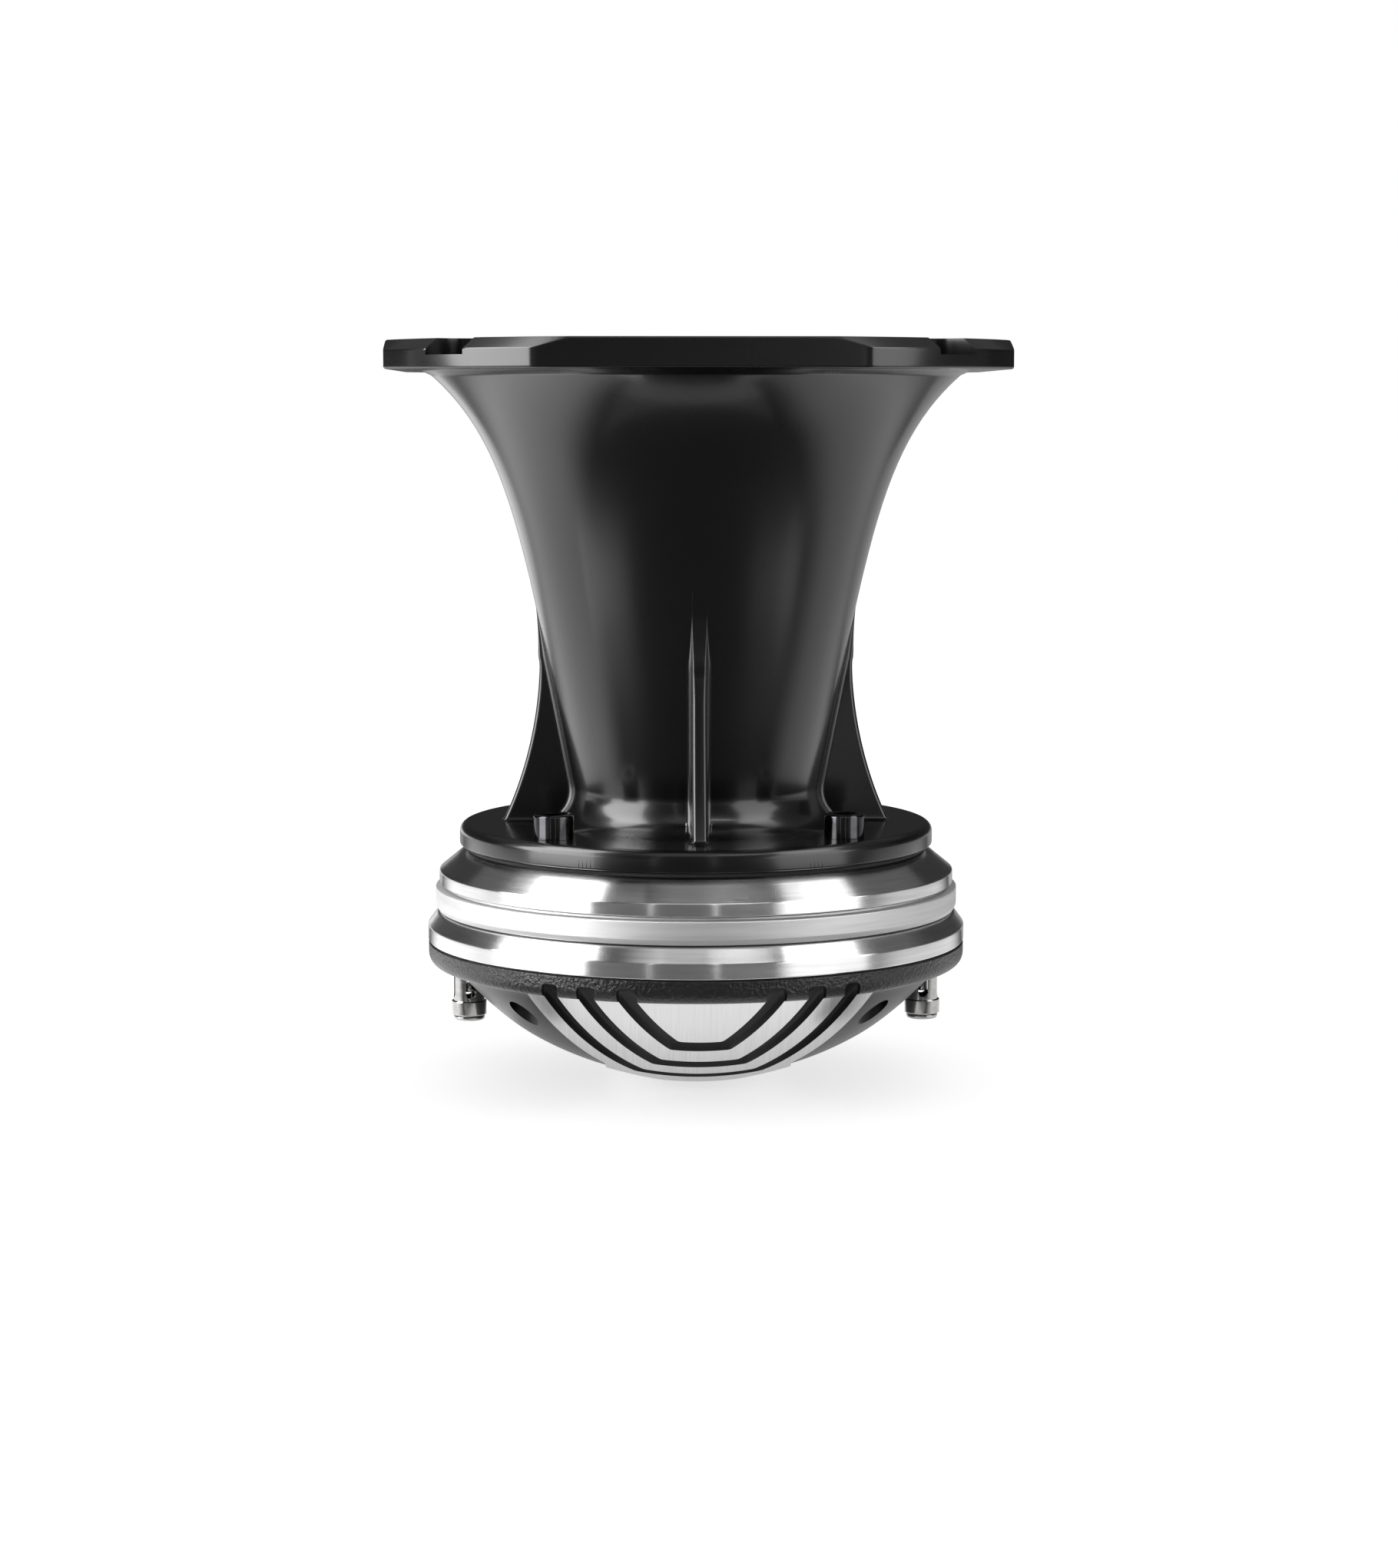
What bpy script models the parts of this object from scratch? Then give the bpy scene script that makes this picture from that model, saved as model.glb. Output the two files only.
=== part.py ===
# A horn loudspeaker: a compression driver bolted to a cast, round horn.
# The parts stand on the Z axis, mouth up, with the driver's domed rear cover at Z = 0.
# Units are metres. The front, with the ribs square to it, faces -Y.
import math

import bmesh
import bpy
from mathutils import Matrix, Vector

for old in list(bpy.data.objects):
    bpy.data.objects.remove(old, do_unlink=True)

# Gap left between two pieces that touch
CLEARANCE = 0.0003

# Cast horn
HORN_LENGTH = 0.1277
THROAT_INSET = 0.0354
HORN_WALL = 0.0036
HORN_TAPER = 0.19
FLARE_LENGTH = 0.0163
MOUTH_RADIUS = 0.069
FLARE_ROOT_RADIUS = 0.0685
MOUTH_FLANGE_RADIUS = 0.0861
MOUTH_FLANGE_THICKNESS = 0.0072
MOUTH_ACROSS_FLATS = 0.1532
MOUTH_CHAMFER_RUN = 0.0038
MOUTH_CHAMFER_DROP = 0.0026
MOUTH_SCREW_COUNT = 4
MOUTH_SCREW_CIRCLE = 0.079
MOUTH_SCREW_HOLE_RADIUS = 0.0033
SCREW_POCKET_WIDTH = 0.013
SCREW_POCKET_DEPTH = 0.004
BASE_FLANGE_RADIUS = 0.0608
BASE_FLANGE_THICKNESS = 0.0055
BASE_EDGE_ROUND = 0.0015
NECK_FILLET = 0.008
RIB_COUNT = 4
RIB_THICKNESS = 0.0036
RIB_STAND = 0.0018
RIB_WAIST_HEIGHT = 0.043
RIB_FOOT_INSET = 0.011
RIB_TOP_SHARE = 0.45

# Throat gasket and the bolts that hold the horn on the driver
GASKET_INSET = 0.0018
GASKET_THICKNESS = 0.0009
BOLT_COUNT = 4
BOLT_EDGE_INSET = 0.01
BOLT_RADIUS = 0.003
BOLT_HEAD_RADIUS = 0.005
BOLT_HEAD_HEIGHT = 0.006
BOLT_SOCKET_RADIUS = 0.0029
BOLT_SOCKET_DEPTH = 0.003
BOLT_GRIP = 0.0062
BOLT_HOLE_PLAY = 0.0003
BOLT_END_ROOM = 0.0006

# Magnet system
FRONT_PLATE_TOP_INSET = 0.001
FRONT_PLATE_CONE_RUN = 0.0063
FRONT_PLATE_BAND = 0.0032
FRONT_PLATE_CONE = 0.0051
MID_RING_OVERHANG = 0.001
MID_RING_WALL = 0.0048
MID_RING_CHAMFER = 0.0007
MID_RING_CHAMFER_HEIGHT = 0.0013
MID_RING_STEP = 0.0026
MID_RING_STEP_HEIGHT = 0.0007
MAGNET_HEIGHT = 0.0065
MAGNET_WALL = 0.016
REAR_RING_TOP_INSET = 0.0007
REAR_RING_CONE_RUN = 0.0027
REAR_RING_BAND = 0.0039
REAR_RING_CONE = 0.0037
POLE_COIL_INSET = 0.0007
POLE_LIP = 0.0023
PLUG_SEAT_DEPTH = 0.004
PLUG_HEIGHT = 0.013
PLUG_EXIT_INSET = 0.0037
PLUG_NOSE_RADIUS = 0.006
PLUG_NOSE_HEIGHT = 0.006
PLUG_SLOT_COUNT = 3
PLUG_SLOT_WIDTH = 0.0014
PLUG_SLOT_FLARE = 0.0008
PLUG_SLOT_START = 0.35
PLUG_FACE_MARGIN = 0.5
PLUG_SPOKE_COUNT = 3
PLUG_SPOKE_TURN = 34.0
PLUG_SPOKE_WIDTH = 0.0016
PLUG_SPOKE_HEIGHT = 0.004

# Moving system
DOME_CURVE = 1.25
DOME_EDGE_INSET = 0.0294
DOME_THICKNESS = 0.0004
DOME_SEAT = 0.0006
DOME_PLUG_GAP = 0.0012
FORMER_WALL = 0.0003
FORMER_SKIRT = 0.0008
COIL_WALL = 0.0006
COIL_HEIGHT = 0.0052
COIL_START = 0.0012
COIL_RUNNING_GAP = 0.0007
SURROUND_WIDTH = 0.0038
SURROUND_THICKNESS = 0.0004
SURROUND_LAND = 0.0006
DIAPHRAGM_RING_WIDTH = 0.0055
DIAPHRAGM_RING_HEIGHT = 0.003
DIAPHRAGM_SCREW_COUNT = 4
DIAPHRAGM_SCREW_RADIUS = 0.0011
DIAPHRAGM_SCREW_HEAD_RADIUS = 0.002
DIAPHRAGM_SCREW_HEAD_HEIGHT = 0.0014
DIAPHRAGM_SCREW_GRIP = 0.004

# Rear cover
COVER_DOME_RADIUS = 0.085
COVER_RIM_INSET = 0.0001
COVER_RIM_WIDTH = 0.0036
COVER_RIM_HEIGHT = 0.00596
COVER_RIM_ROUND = 0.0034
COVER_RIM_FULLNESS = 0.8
COVER_WALL = 0.006
COVER_CAVITY_PLAY = 0.0008
GROOVE_COUNT = 3
GROOVE_DEPTH = 0.002
GROOVE_WIDTH = 0.0032
GROOVE_ARM_WIDTH = 0.0037
GROOVE_EDGE_INSET = 0.012
GROOVE_PITCH = 0.0095
GROOVE_ARM_INSET = 0.03145
GROOVE_ARM_PITCH = 0.0097
GROOVE_RIM_NOTCH = 0.0035
WING_DEPTH = 0.001
WING_RIM_DEPTH = 0.0004
WING_RIM_REACH = 0.0012
WING_INNER_EDGE = 0.0233
WING_ARM_OFFSET = 0.00735
COVER_SCREW_INSET = 0.0089
COVER_SCREW_ANGLE = 39.9
COVER_SCREW_RADIUS = 0.002
COVER_SCREW_HEAD_RADIUS = 0.0034
COVER_SCREW_HEAD_HEIGHT = 0.004
COVER_SCREW_SOCKET_RADIUS = 0.0017
COVER_SCREW_SOCKET_DEPTH = 0.002
COVER_SCREW_SEAT_DEPTH = 0.0058
COVER_SCREW_GRIP = 0.005
COVER_SCREW_HEAD_PLAY = 0.00035
SEAL_THICKNESS = 0.0007
SEAL_WIDTH = 0.0037
SEAL_INSET = 0.0004
PAD_RADIUS = 0.02
PAD_THICKNESS = 0.003

# Spring terminals
TERMINAL_INSET = 0.0066
TERMINAL_POCKET_RADIUS = 0.0054
TERMINAL_POCKET_DEPTH = 0.0021
TERMINAL_WEB = 0.0016
BUSH_FLANGE_RADIUS = 0.0044
BUSH_FLANGE_THICKNESS = 0.0006
BUSH_WALL = 0.0012
BUSH_TAIL = 0.0006
POST_RADIUS = 0.0017
POST_SHOULDER_RADIUS = 0.0029
POST_SHOULDER_HEIGHT = 0.0008
POST_LENGTH = 0.009
POST_THREAD_ROOM = 0.0008
POST_CROSS_HOLE_RADIUS = 0.0008
POST_CROSS_HOLE_HEIGHT = 0.0028
TAG_THICKNESS = 0.0004
TAG_RADIUS = 0.0036
TAG_TAIL_WIDTH = 0.0024
TAG_TAIL_LENGTH = 0.0085
NUT_RADIUS = 0.0035
NUT_HEIGHT = 0.0024
SLEEVE_RADIUS = 0.004
SLEEVE_BORE_RADIUS = 0.0031
SLEEVE_LENGTH = 0.0126
SLEEVE_TRAVEL = 0.002
SLEEVE_TOP_ROOM = 0.0003
SLEEVE_LEDGE_BELOW_TOP = 0.0024
SLEEVE_LEDGE_HEIGHT = 0.001
SLEEVE_SLOT_WIDTH = 0.0026
LEFT_SLEEVE_TURN = 9.0
SLEEVE_SLOT_FLOOR = 0.0045
COLLAR_RADIUS = 0.0045
COLLAR_HEIGHT = 0.0037
COLLAR_PLAY = 0.0004
END_PLUG_HEIGHT = 0.0012
END_PLUG_SHANK = 0.0032
SPRING_WIRE_RADIUS = 0.00025
SPRING_TURNS = 2.5
SPRING_POINTS_PER_TURN = 9
LEAD_RADIUS = 0.00045
LEAD_SAG = 0.0004
LEAD_CHANNEL_WIDTH = 0.004
LEAD_CHANNEL_DEPTH = 0.0031

# Number of flats that stand for a full turn
LARGE_ROUND = 40
INNER_ROUND = 24
MEDIUM_ROUND = 20
SMALL_ROUND = 12
HOLE_ROUND = 10
HEXAGON = 6
SMALL_HOLE_ROUND = 8

# Number of points along a curve in a section
FLARE_STEPS = 8
RIB_EDGE_STEPS = 8
RIB_ROOT_STEPS = 3
FILLET_STEPS = 4
EDGE_STEPS = 3
DOME_STEPS = 6
SKIN_STEPS = 8
RIM_STEPS = 5
PAD_STEPS = 4
TAG_STEPS = 14
SLOT_STEPS = 6
LEAD_STEPS = 8

# How far a cutter passes the face that it cuts
CUTTER_REACH = 0.002


def dome_height(radius, sphere_radius):
    """Height of a sphere's skin at a radius, above the sphere's lowest point."""
    return sphere_radius - math.sqrt(sphere_radius ** 2 - radius ** 2)


# Radii that follow from the horn's base flange, down the driver to its cover and inwards
THROAT_RADIUS = BASE_FLANGE_RADIUS - THROAT_INSET
BOLT_CIRCLE = BASE_FLANGE_RADIUS - BOLT_EDGE_INSET
FRONT_PLATE_TOP_RADIUS = BASE_FLANGE_RADIUS - FRONT_PLATE_TOP_INSET
FRONT_PLATE_BAND_RADIUS = FRONT_PLATE_TOP_RADIUS + FRONT_PLATE_CONE_RUN
MID_RING_RADIUS = FRONT_PLATE_BAND_RADIUS + MID_RING_OVERHANG
MAGNET_RADIUS = MID_RING_RADIUS - MID_RING_WALL - CLEARANCE
REAR_RING_TOP_RADIUS = MID_RING_RADIUS - REAR_RING_TOP_INSET
REAR_RING_BAND_RADIUS = REAR_RING_TOP_RADIUS + REAR_RING_CONE_RUN
COVER_RIM_RADIUS = REAR_RING_BAND_RADIUS - COVER_RIM_INSET
COVER_TURNED_RADIUS = COVER_RIM_RADIUS - COVER_RIM_WIDTH
COVER_SCREW_CIRCLE = COVER_TURNED_RADIUS - COVER_SCREW_INSET
TERMINAL_CIRCLE = COVER_TURNED_RADIUS - TERMINAL_INSET
DOME_EDGE_RADIUS = COVER_TURNED_RADIUS - DOME_EDGE_INSET
DOME_RADIUS = DOME_EDGE_RADIUS * DOME_CURVE
POLE_RADIUS = DOME_EDGE_RADIUS - POLE_COIL_INSET
PLUG_EXIT_RADIUS = THROAT_RADIUS - PLUG_EXIT_INSET

# Heights of the faces between the pieces, from the cover's lowest point up
Z_LIP = dome_height(COVER_TURNED_RADIUS, COVER_DOME_RADIUS)
Z_COVER = Z_LIP + COVER_RIM_HEIGHT
Z_REAR = Z_COVER + CLEARANCE
Z_REAR_TOP = Z_REAR + REAR_RING_BAND + REAR_RING_CONE
Z_MAGNET = Z_REAR_TOP + CLEARANCE
Z_MAGNET_TOP = Z_MAGNET + MAGNET_HEIGHT
Z_FRONT = Z_MAGNET_TOP + CLEARANCE
Z_FRONT_TOP = Z_FRONT + FRONT_PLATE_BAND + FRONT_PLATE_CONE
Z_GASKET = Z_FRONT_TOP + CLEARANCE
Z_HORN = Z_GASKET + GASKET_THICKNESS + CLEARANCE
Z_BASE_TOP = Z_HORN + BASE_FLANGE_THICKNESS
Z_MOUTH = Z_HORN + HORN_LENGTH
Z_MOUTH_UNDERSIDE = Z_MOUTH - MOUTH_FLANGE_THICKNESS

# Radii that follow from the moving system, from the dome's edge outwards
FORMER_RADIUS = DOME_EDGE_RADIUS + CLEARANCE
COIL_RADIUS = FORMER_RADIUS + FORMER_WALL + CLEARANCE
GAP_RADIUS = COIL_RADIUS + COIL_WALL + COIL_RUNNING_GAP
SURROUND_RADIUS = FORMER_RADIUS + FORMER_WALL + CLEARANCE
DIAPHRAGM_RING_BORE = SURROUND_RADIUS + SURROUND_WIDTH + CLEARANCE
DIAPHRAGM_RING_RADIUS = DIAPHRAGM_RING_BORE + DIAPHRAGM_RING_WIDTH
CAVITY_RADIUS = DIAPHRAGM_RING_RADIUS + COVER_CAVITY_PLAY
Z_DOME_EDGE = Z_REAR - DOME_SEAT
Z_DOME_CENTRE = Z_DOME_EDGE + math.sqrt(DOME_RADIUS ** 2 - DOME_EDGE_RADIUS ** 2)
Z_DIAPHRAGM_RING = Z_REAR - CLEARANCE - DIAPHRAGM_RING_HEIGHT
COVER_CENTRE = COVER_DOME_RADIUS

speaker = bpy.data.collections.new("horn_loudspeaker")
cutters = bpy.data.collections.new("cutters")
bpy.context.scene.collection.children.link(speaker)
bpy.context.scene.collection.children.link(cutters)


def finish(name, colour, roughness, metallic):
    """A plain Principled material."""
    material = bpy.data.materials.new(name)
    material.use_nodes = True
    shader = material.node_tree.nodes["Principled BSDF"]
    shader.inputs["Base Color"].default_value = (*colour, 1.0)
    shader.inputs["Roughness"].default_value = roughness
    shader.inputs["Metallic"].default_value = metallic
    material.diffuse_color = (*colour, 1.0)
    return material


BLACK_PAINT = finish("black_powder_coat", (0.012, 0.012, 0.013), 0.35, 0.0)
DARK_CAST = finish("dark_cast_cover", (0.045, 0.045, 0.047), 0.55, 0.2)
TURNED_METAL = finish("turned_bright_metal", (0.62, 0.62, 0.63), 0.25, 1.0)
SATIN_METAL = finish("satin_metal", (0.75, 0.75, 0.76), 0.4, 1.0)
BLACK_STEEL = finish("black_steel", (0.05, 0.05, 0.055), 0.2, 1.0)
BRIGHT_PLATE = finish("bright_nickel", (0.78, 0.78, 0.79), 0.08, 1.0)
POLE_STEEL = finish("plated_pole_steel", (0.35, 0.34, 0.32), 0.35, 1.0)
MAGNET_COAT = finish("magnet_coat", (0.12, 0.12, 0.13), 0.4, 0.6)
BLACK_PLASTIC = finish("black_plastic", (0.02, 0.02, 0.022), 0.45, 0.0)
GASKET_FIBRE = finish("gasket_fibre", (0.02, 0.02, 0.02), 0.9, 0.0)
TITANIUM = finish("titanium_dome", (0.5, 0.49, 0.47), 0.3, 1.0)
AMBER_FILM = finish("amber_film", (0.45, 0.22, 0.05), 0.35, 0.0)
COPPER_WIRE = finish("copper_wire", (0.72, 0.32, 0.16), 0.3, 1.0)
GREY_FELT = finish("grey_felt", (0.2, 0.2, 0.2), 0.95, 0.0)


def as_part(item, material):
    """Put an object in the speaker's collection, with its material."""
    speaker.objects.link(item)
    item.data.materials.clear()
    item.data.materials.append(material)
    return item


def as_cutter(item):
    """Put an object among the cutters, which aren't rendered."""
    cutters.objects.link(item)
    item.hide_render = True
    item.display_type = "WIRE"
    return item


def turned(name, profile, closed, steps=LARGE_ROUND):
    """Turn a profile of (radius, height) points round the Z axis.

    The points run down the outer side. A closed profile makes a ring; an open one starts
    and ends on the axis.
    """
    mesh = bpy.data.meshes.new(name)
    outline = bmesh.new()
    points = [outline.verts.new((radius, 0.0, height)) for radius, height in profile]
    for first, second in zip(points, points[1:]):
        outline.edges.new((first, second))
    if closed:
        outline.edges.new((points[-1], points[0]))
    outline.to_mesh(mesh)
    outline.free()
    item = bpy.data.objects.new(name, mesh)
    screw = item.modifiers.new("turn", "SCREW")
    screw.steps = steps
    screw.render_steps = steps
    screw.use_merge_vertices = True
    screw.merge_threshold = 0.00001
    screw.use_smooth_shade = True
    return item


def ring(name, inner, outer, low, high, steps=LARGE_ROUND):
    """A plain ring of square section."""
    profile = [(outer, high), (outer, low), (inner, low), (inner, high)]
    return turned(name, profile, True, steps)


def rod(name, radius, low, high, steps=SMALL_ROUND):
    """A solid cylinder along Z."""
    mesh = bpy.data.meshes.new(name)
    shape = bmesh.new()
    middle = Matrix.Translation((0.0, 0.0, (low + high) / 2))
    bmesh.ops.create_cone(shape, cap_ends=True, segments=steps, radius1=radius, radius2=radius,
                          depth=high - low, matrix=middle)
    shape.to_mesh(mesh)
    shape.free()
    return bpy.data.objects.new(name, mesh)


def block(name, low, high):
    """A box between two corners."""
    mesh = bpy.data.meshes.new(name)
    shape = bmesh.new()
    size = Vector(high) - Vector(low)
    place = Matrix.Translation((Vector(low) + Vector(high)) / 2) @ Matrix.Diagonal((*size, 1.0))
    bmesh.ops.create_cube(shape, size=1.0, matrix=place)
    shape.to_mesh(mesh)
    shape.free()
    return bpy.data.objects.new(name, mesh)


def plate(name, outlines, low, high, place=Matrix.Identity(4)):
    """A flat outline, with any holes, made thick between two heights and then placed."""
    curve = bpy.data.curves.new(name + "_outline", "CURVE")
    curve.dimensions = "2D"
    curve.fill_mode = "BOTH"
    curve.extrude = (high - low) / 2
    for outline in outlines:
        spline = curve.splines.new("POLY")
        spline.points.add(len(outline) - 1)
        for point, (across, along) in zip(spline.points, outline):
            point.co = (across, along, 0.0, 1.0)
        spline.use_cyclic_u = True
    sketch = bpy.data.objects.new(name + "_outline", curve)
    bpy.context.scene.collection.objects.link(sketch)
    return solid_from_curve(name, sketch, place @ Matrix.Translation((0.0, 0.0, (low + high) / 2)))


def solid_from_curve(name, sketch, place):
    """Turn a curve object into a welded mesh object, and remove the curve."""
    graph = bpy.context.evaluated_depsgraph_get()
    mesh = bpy.data.meshes.new_from_object(sketch.evaluated_get(graph))
    mesh.name = name
    shape = bmesh.new()
    shape.from_mesh(mesh)
    bmesh.ops.remove_doubles(shape, verts=shape.verts, dist=0.000001)
    bmesh.ops.transform(shape, matrix=place, verts=shape.verts)
    bmesh.ops.recalc_face_normals(shape, faces=shape.faces)
    shape.to_mesh(mesh)
    shape.free()
    bpy.data.objects.remove(sketch, do_unlink=True)
    return bpy.data.objects.new(name, mesh)


def tube(name, points, radius, sides_resolution):
    """A round wire through points, with closed ends."""
    curve = bpy.data.curves.new(name, "CURVE")
    curve.dimensions = "3D"
    curve.bevel_depth = radius
    curve.bevel_resolution = sides_resolution
    curve.use_fill_caps = True
    spline = curve.splines.new("POLY")
    spline.points.add(len(points) - 1)
    for point, place in zip(spline.points, points):
        point.co = (*place, 1.0)
    sketch = bpy.data.objects.new(name + "_path", curve)
    bpy.context.scene.collection.objects.link(sketch)
    return solid_from_curve(name, sketch, Matrix.Identity(4))


def shape_with(item, other, operation):
    """Cut, join or intersect an object with another, which becomes a cutter."""
    if other.name not in cutters.objects:
        as_cutter(other)
    change = item.modifiers.new(other.name, "BOOLEAN")
    change.operation = operation
    change.object = other
    return item


def cut(item, other):
    return shape_with(item, other, "DIFFERENCE")


def join(item, other):
    return shape_with(item, other, "UNION")


def on_circle(radius, angle):
    """A point at an angle in degrees, seen from above, from +X towards +Y."""
    turn = math.radians(angle)
    return Vector((radius * math.cos(turn), radius * math.sin(turn), 0.0))


def arc(centre, radius, start, end, count):
    """Points on an arc between two angles in degrees."""
    points = []
    for step in range(count + 1):
        turn = math.radians(start + (end - start) * step / count)
        points.append((centre[0] + radius * math.cos(turn), centre[1] + radius * math.sin(turn)))
    return points


def diagonal_angles(count):
    """Evenly spaced angles that start on the diagonal between the ribs."""
    return [360.0 / count * (step + 0.5) for step in range(count)]


# Cast horn

HORN_SKIN_TAPER_END = THROAT_RADIUS + HORN_WALL + HORN_TAPER * (Z_MOUTH_UNDERSIDE - Z_HORN)
HORN_BORE_TAPER_END = THROAT_RADIUS + HORN_TAPER * HORN_LENGTH


def horn_skin(height):
    """Outer radius of the horn at a height: a straight taper that opens into a flare."""
    taper = THROAT_RADIUS + HORN_WALL + HORN_TAPER * (height - Z_HORN)
    flare = FLARE_ROOT_RADIUS - HORN_SKIN_TAPER_END
    return taper + flare * math.exp((height - Z_MOUTH_UNDERSIDE) / FLARE_LENGTH)


def horn_bore(height):
    """Inner radius of the horn at a height, by the same rule as its skin."""
    taper = THROAT_RADIUS + HORN_TAPER * (height - Z_HORN)
    flare = MOUTH_RADIUS - HORN_BORE_TAPER_END
    return taper + flare * math.exp((height - Z_MOUTH) / FLARE_LENGTH)


def eased_heights(low, high, count):
    """Heights from high to low, close together near the top, where the flare curves."""
    return [high + (low - high) * (step / count) ** 2 for step in range(count + 1)]


def horn_rib(angle):
    """One upright rib from the base flange to where its curved edge runs into the skin."""
    waist_height = Z_BASE_TOP + RIB_WAIST_HEIGHT
    waist = horn_skin(waist_height) + RIB_STAND
    foot = BASE_FLANGE_RADIUS - RIB_FOOT_INSET
    edge_radius = ((foot - waist) ** 2 + RIB_WAIST_HEIGHT ** 2) / (2 * (foot - waist))
    rise = math.degrees(math.asin(RIB_WAIST_HEIGHT / edge_radius))
    top_angle = 180.0 - rise * RIB_TOP_SHARE
    edge = arc((waist + edge_radius, waist_height), edge_radius, 180.0 + rise, top_angle,
               RIB_EDGE_STEPS)
    root = HORN_WALL / 2
    inner = [(horn_skin(height) - root, height)
             for height in eased_heights(Z_BASE_TOP, edge[-1][1], RIB_ROOT_STEPS)]
    buried = Z_BASE_TOP - BASE_FLANGE_THICKNESS / 2
    outline = [(foot, buried)] + edge + inner + [(inner[-1][0], buried)]
    upright = Matrix.Rotation(math.radians(angle), 4, "Z") @ Matrix.Rotation(math.radians(90), 4, "X")
    half = RIB_THICKNESS / 2
    return plate("rib_%d" % angle, [outline], -half, half, upright)


def make_horn():
    lean = math.atan(HORN_TAPER)
    neck = Z_BASE_TOP + NECK_FILLET * (1 + math.sin(lean))
    neck_centre = (horn_skin(neck) + NECK_FILLET * math.cos(lean), Z_BASE_TOP + NECK_FILLET)
    profile = [
        (MOUTH_FLANGE_RADIUS - MOUTH_CHAMFER_RUN, Z_MOUTH),
        (MOUTH_FLANGE_RADIUS, Z_MOUTH - MOUTH_CHAMFER_DROP),
        (MOUTH_FLANGE_RADIUS, Z_MOUTH_UNDERSIDE),
    ]
    profile += [(horn_skin(height), height)
                for height in eased_heights(neck, Z_MOUTH_UNDERSIDE, FLARE_STEPS)]
    profile += arc(neck_centre, NECK_FILLET, 180.0 - math.degrees(lean), 270.0, FILLET_STEPS)[1:]
    edge_centre = (BASE_FLANGE_RADIUS - BASE_EDGE_ROUND, Z_BASE_TOP - BASE_EDGE_ROUND)
    profile += arc(edge_centre, BASE_EDGE_ROUND, 90.0, 0.0, EDGE_STEPS)
    profile += [(BASE_FLANGE_RADIUS, Z_HORN), (THROAT_RADIUS, Z_HORN)]
    bore = eased_heights(Z_HORN, Z_MOUTH, FLARE_STEPS)
    profile += [(horn_bore(height), height) for height in reversed(bore)][1:]
    horn = turned("horn_body", profile, True)
    for step in range(RIB_COUNT):
        join(horn, horn_rib(360 * step // RIB_COUNT))
    half = MOUTH_ACROSS_FLATS / 2
    reach = CUTTER_REACH
    flats = block("flats", (-half, -half, Z_HORN - reach), (half, half, Z_MOUTH + reach))
    shape_with(horn, flats, "INTERSECT")
    half_pocket = SCREW_POCKET_WIDTH / 2
    outline = arc((MOUTH_SCREW_CIRCLE, 0.0), half_pocket, 90.0, 270.0, FLARE_STEPS)
    edge = MOUTH_FLANGE_RADIUS + reach
    outline += [(edge, -half_pocket), (edge, half_pocket)]
    for angle in diagonal_angles(MOUTH_SCREW_COUNT):
        turn = Matrix.Rotation(math.radians(angle), 4, "Z")
        floor = Z_MOUTH - SCREW_POCKET_DEPTH
        cut(horn, plate("screw_pocket_%d" % angle, [outline], floor, Z_MOUTH + reach, turn))
        hole = rod("mouth_screw_hole_%d" % angle, MOUTH_SCREW_HOLE_RADIUS,
                   Z_MOUTH_UNDERSIDE - reach, Z_MOUTH)
        hole.location = on_circle(MOUTH_SCREW_CIRCLE, angle)
        cut(horn, hole)
    drill_bolt_holes(horn, Z_HORN - reach, Z_BASE_TOP + reach)
    return as_part(horn, BLACK_PAINT)


# Throat gasket and horn bolts

def drill_bolt_holes(item, low, high):
    """Holes for the horn bolts through a piece."""
    for angle in diagonal_angles(BOLT_COUNT):
        hole = rod("%s_bolt_hole_%d" % (item.name, angle), BOLT_RADIUS + BOLT_HOLE_PLAY, low, high,
                   HOLE_ROUND)
        hole.location = on_circle(BOLT_CIRCLE, angle)
        cut(item, hole)


def make_throat_gasket():
    gasket = ring("throat_gasket", THROAT_RADIUS, BASE_FLANGE_RADIUS - GASKET_INSET,
                  Z_GASKET, Z_GASKET + GASKET_THICKNESS)
    drill_bolt_holes(gasket, Z_GASKET - CUTTER_REACH, Z_GASKET + GASKET_THICKNESS + CUTTER_REACH)
    return as_part(gasket, GASKET_FIBRE)


def socket_screw(name, seat, head_radius, head_height, shank_radius, length, socket, depth):
    """A socket-head screw along Z: head on top of its seat, or under it if head_height is negative."""
    top = seat + head_height
    tip = seat - math.copysign(length, head_height)
    profile = [(0.0, top), (head_radius, top), (head_radius, seat), (shank_radius, seat),
               (shank_radius, tip), (0.0, tip)]
    if head_height < 0:
        profile.reverse()
    screw = turned(name, profile, False, SMALL_ROUND)
    if socket:
        floor = top - math.copysign(depth, head_height)
        mouth = top + math.copysign(CUTTER_REACH, head_height)
        key = rod(name + "_key", socket, min(floor, mouth), max(floor, mouth), HEXAGON)
        cut(screw, key)
        return screw, [key]
    return screw, []


def make_horn_bolts():
    seat = Z_BASE_TOP + CLEARANCE
    length = seat - (Z_FRONT_TOP - BOLT_GRIP)
    for number, angle in enumerate(diagonal_angles(BOLT_COUNT), 1):
        bolt, keys = socket_screw("horn_bolt_%d" % number, seat, BOLT_HEAD_RADIUS, BOLT_HEAD_HEIGHT,
                                  BOLT_RADIUS, length, BOLT_SOCKET_RADIUS, BOLT_SOCKET_DEPTH)
        for piece in [bolt] + keys:
            piece.location = on_circle(BOLT_CIRCLE, angle)
        as_part(bolt, BLACK_STEEL)


# Magnet system

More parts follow.
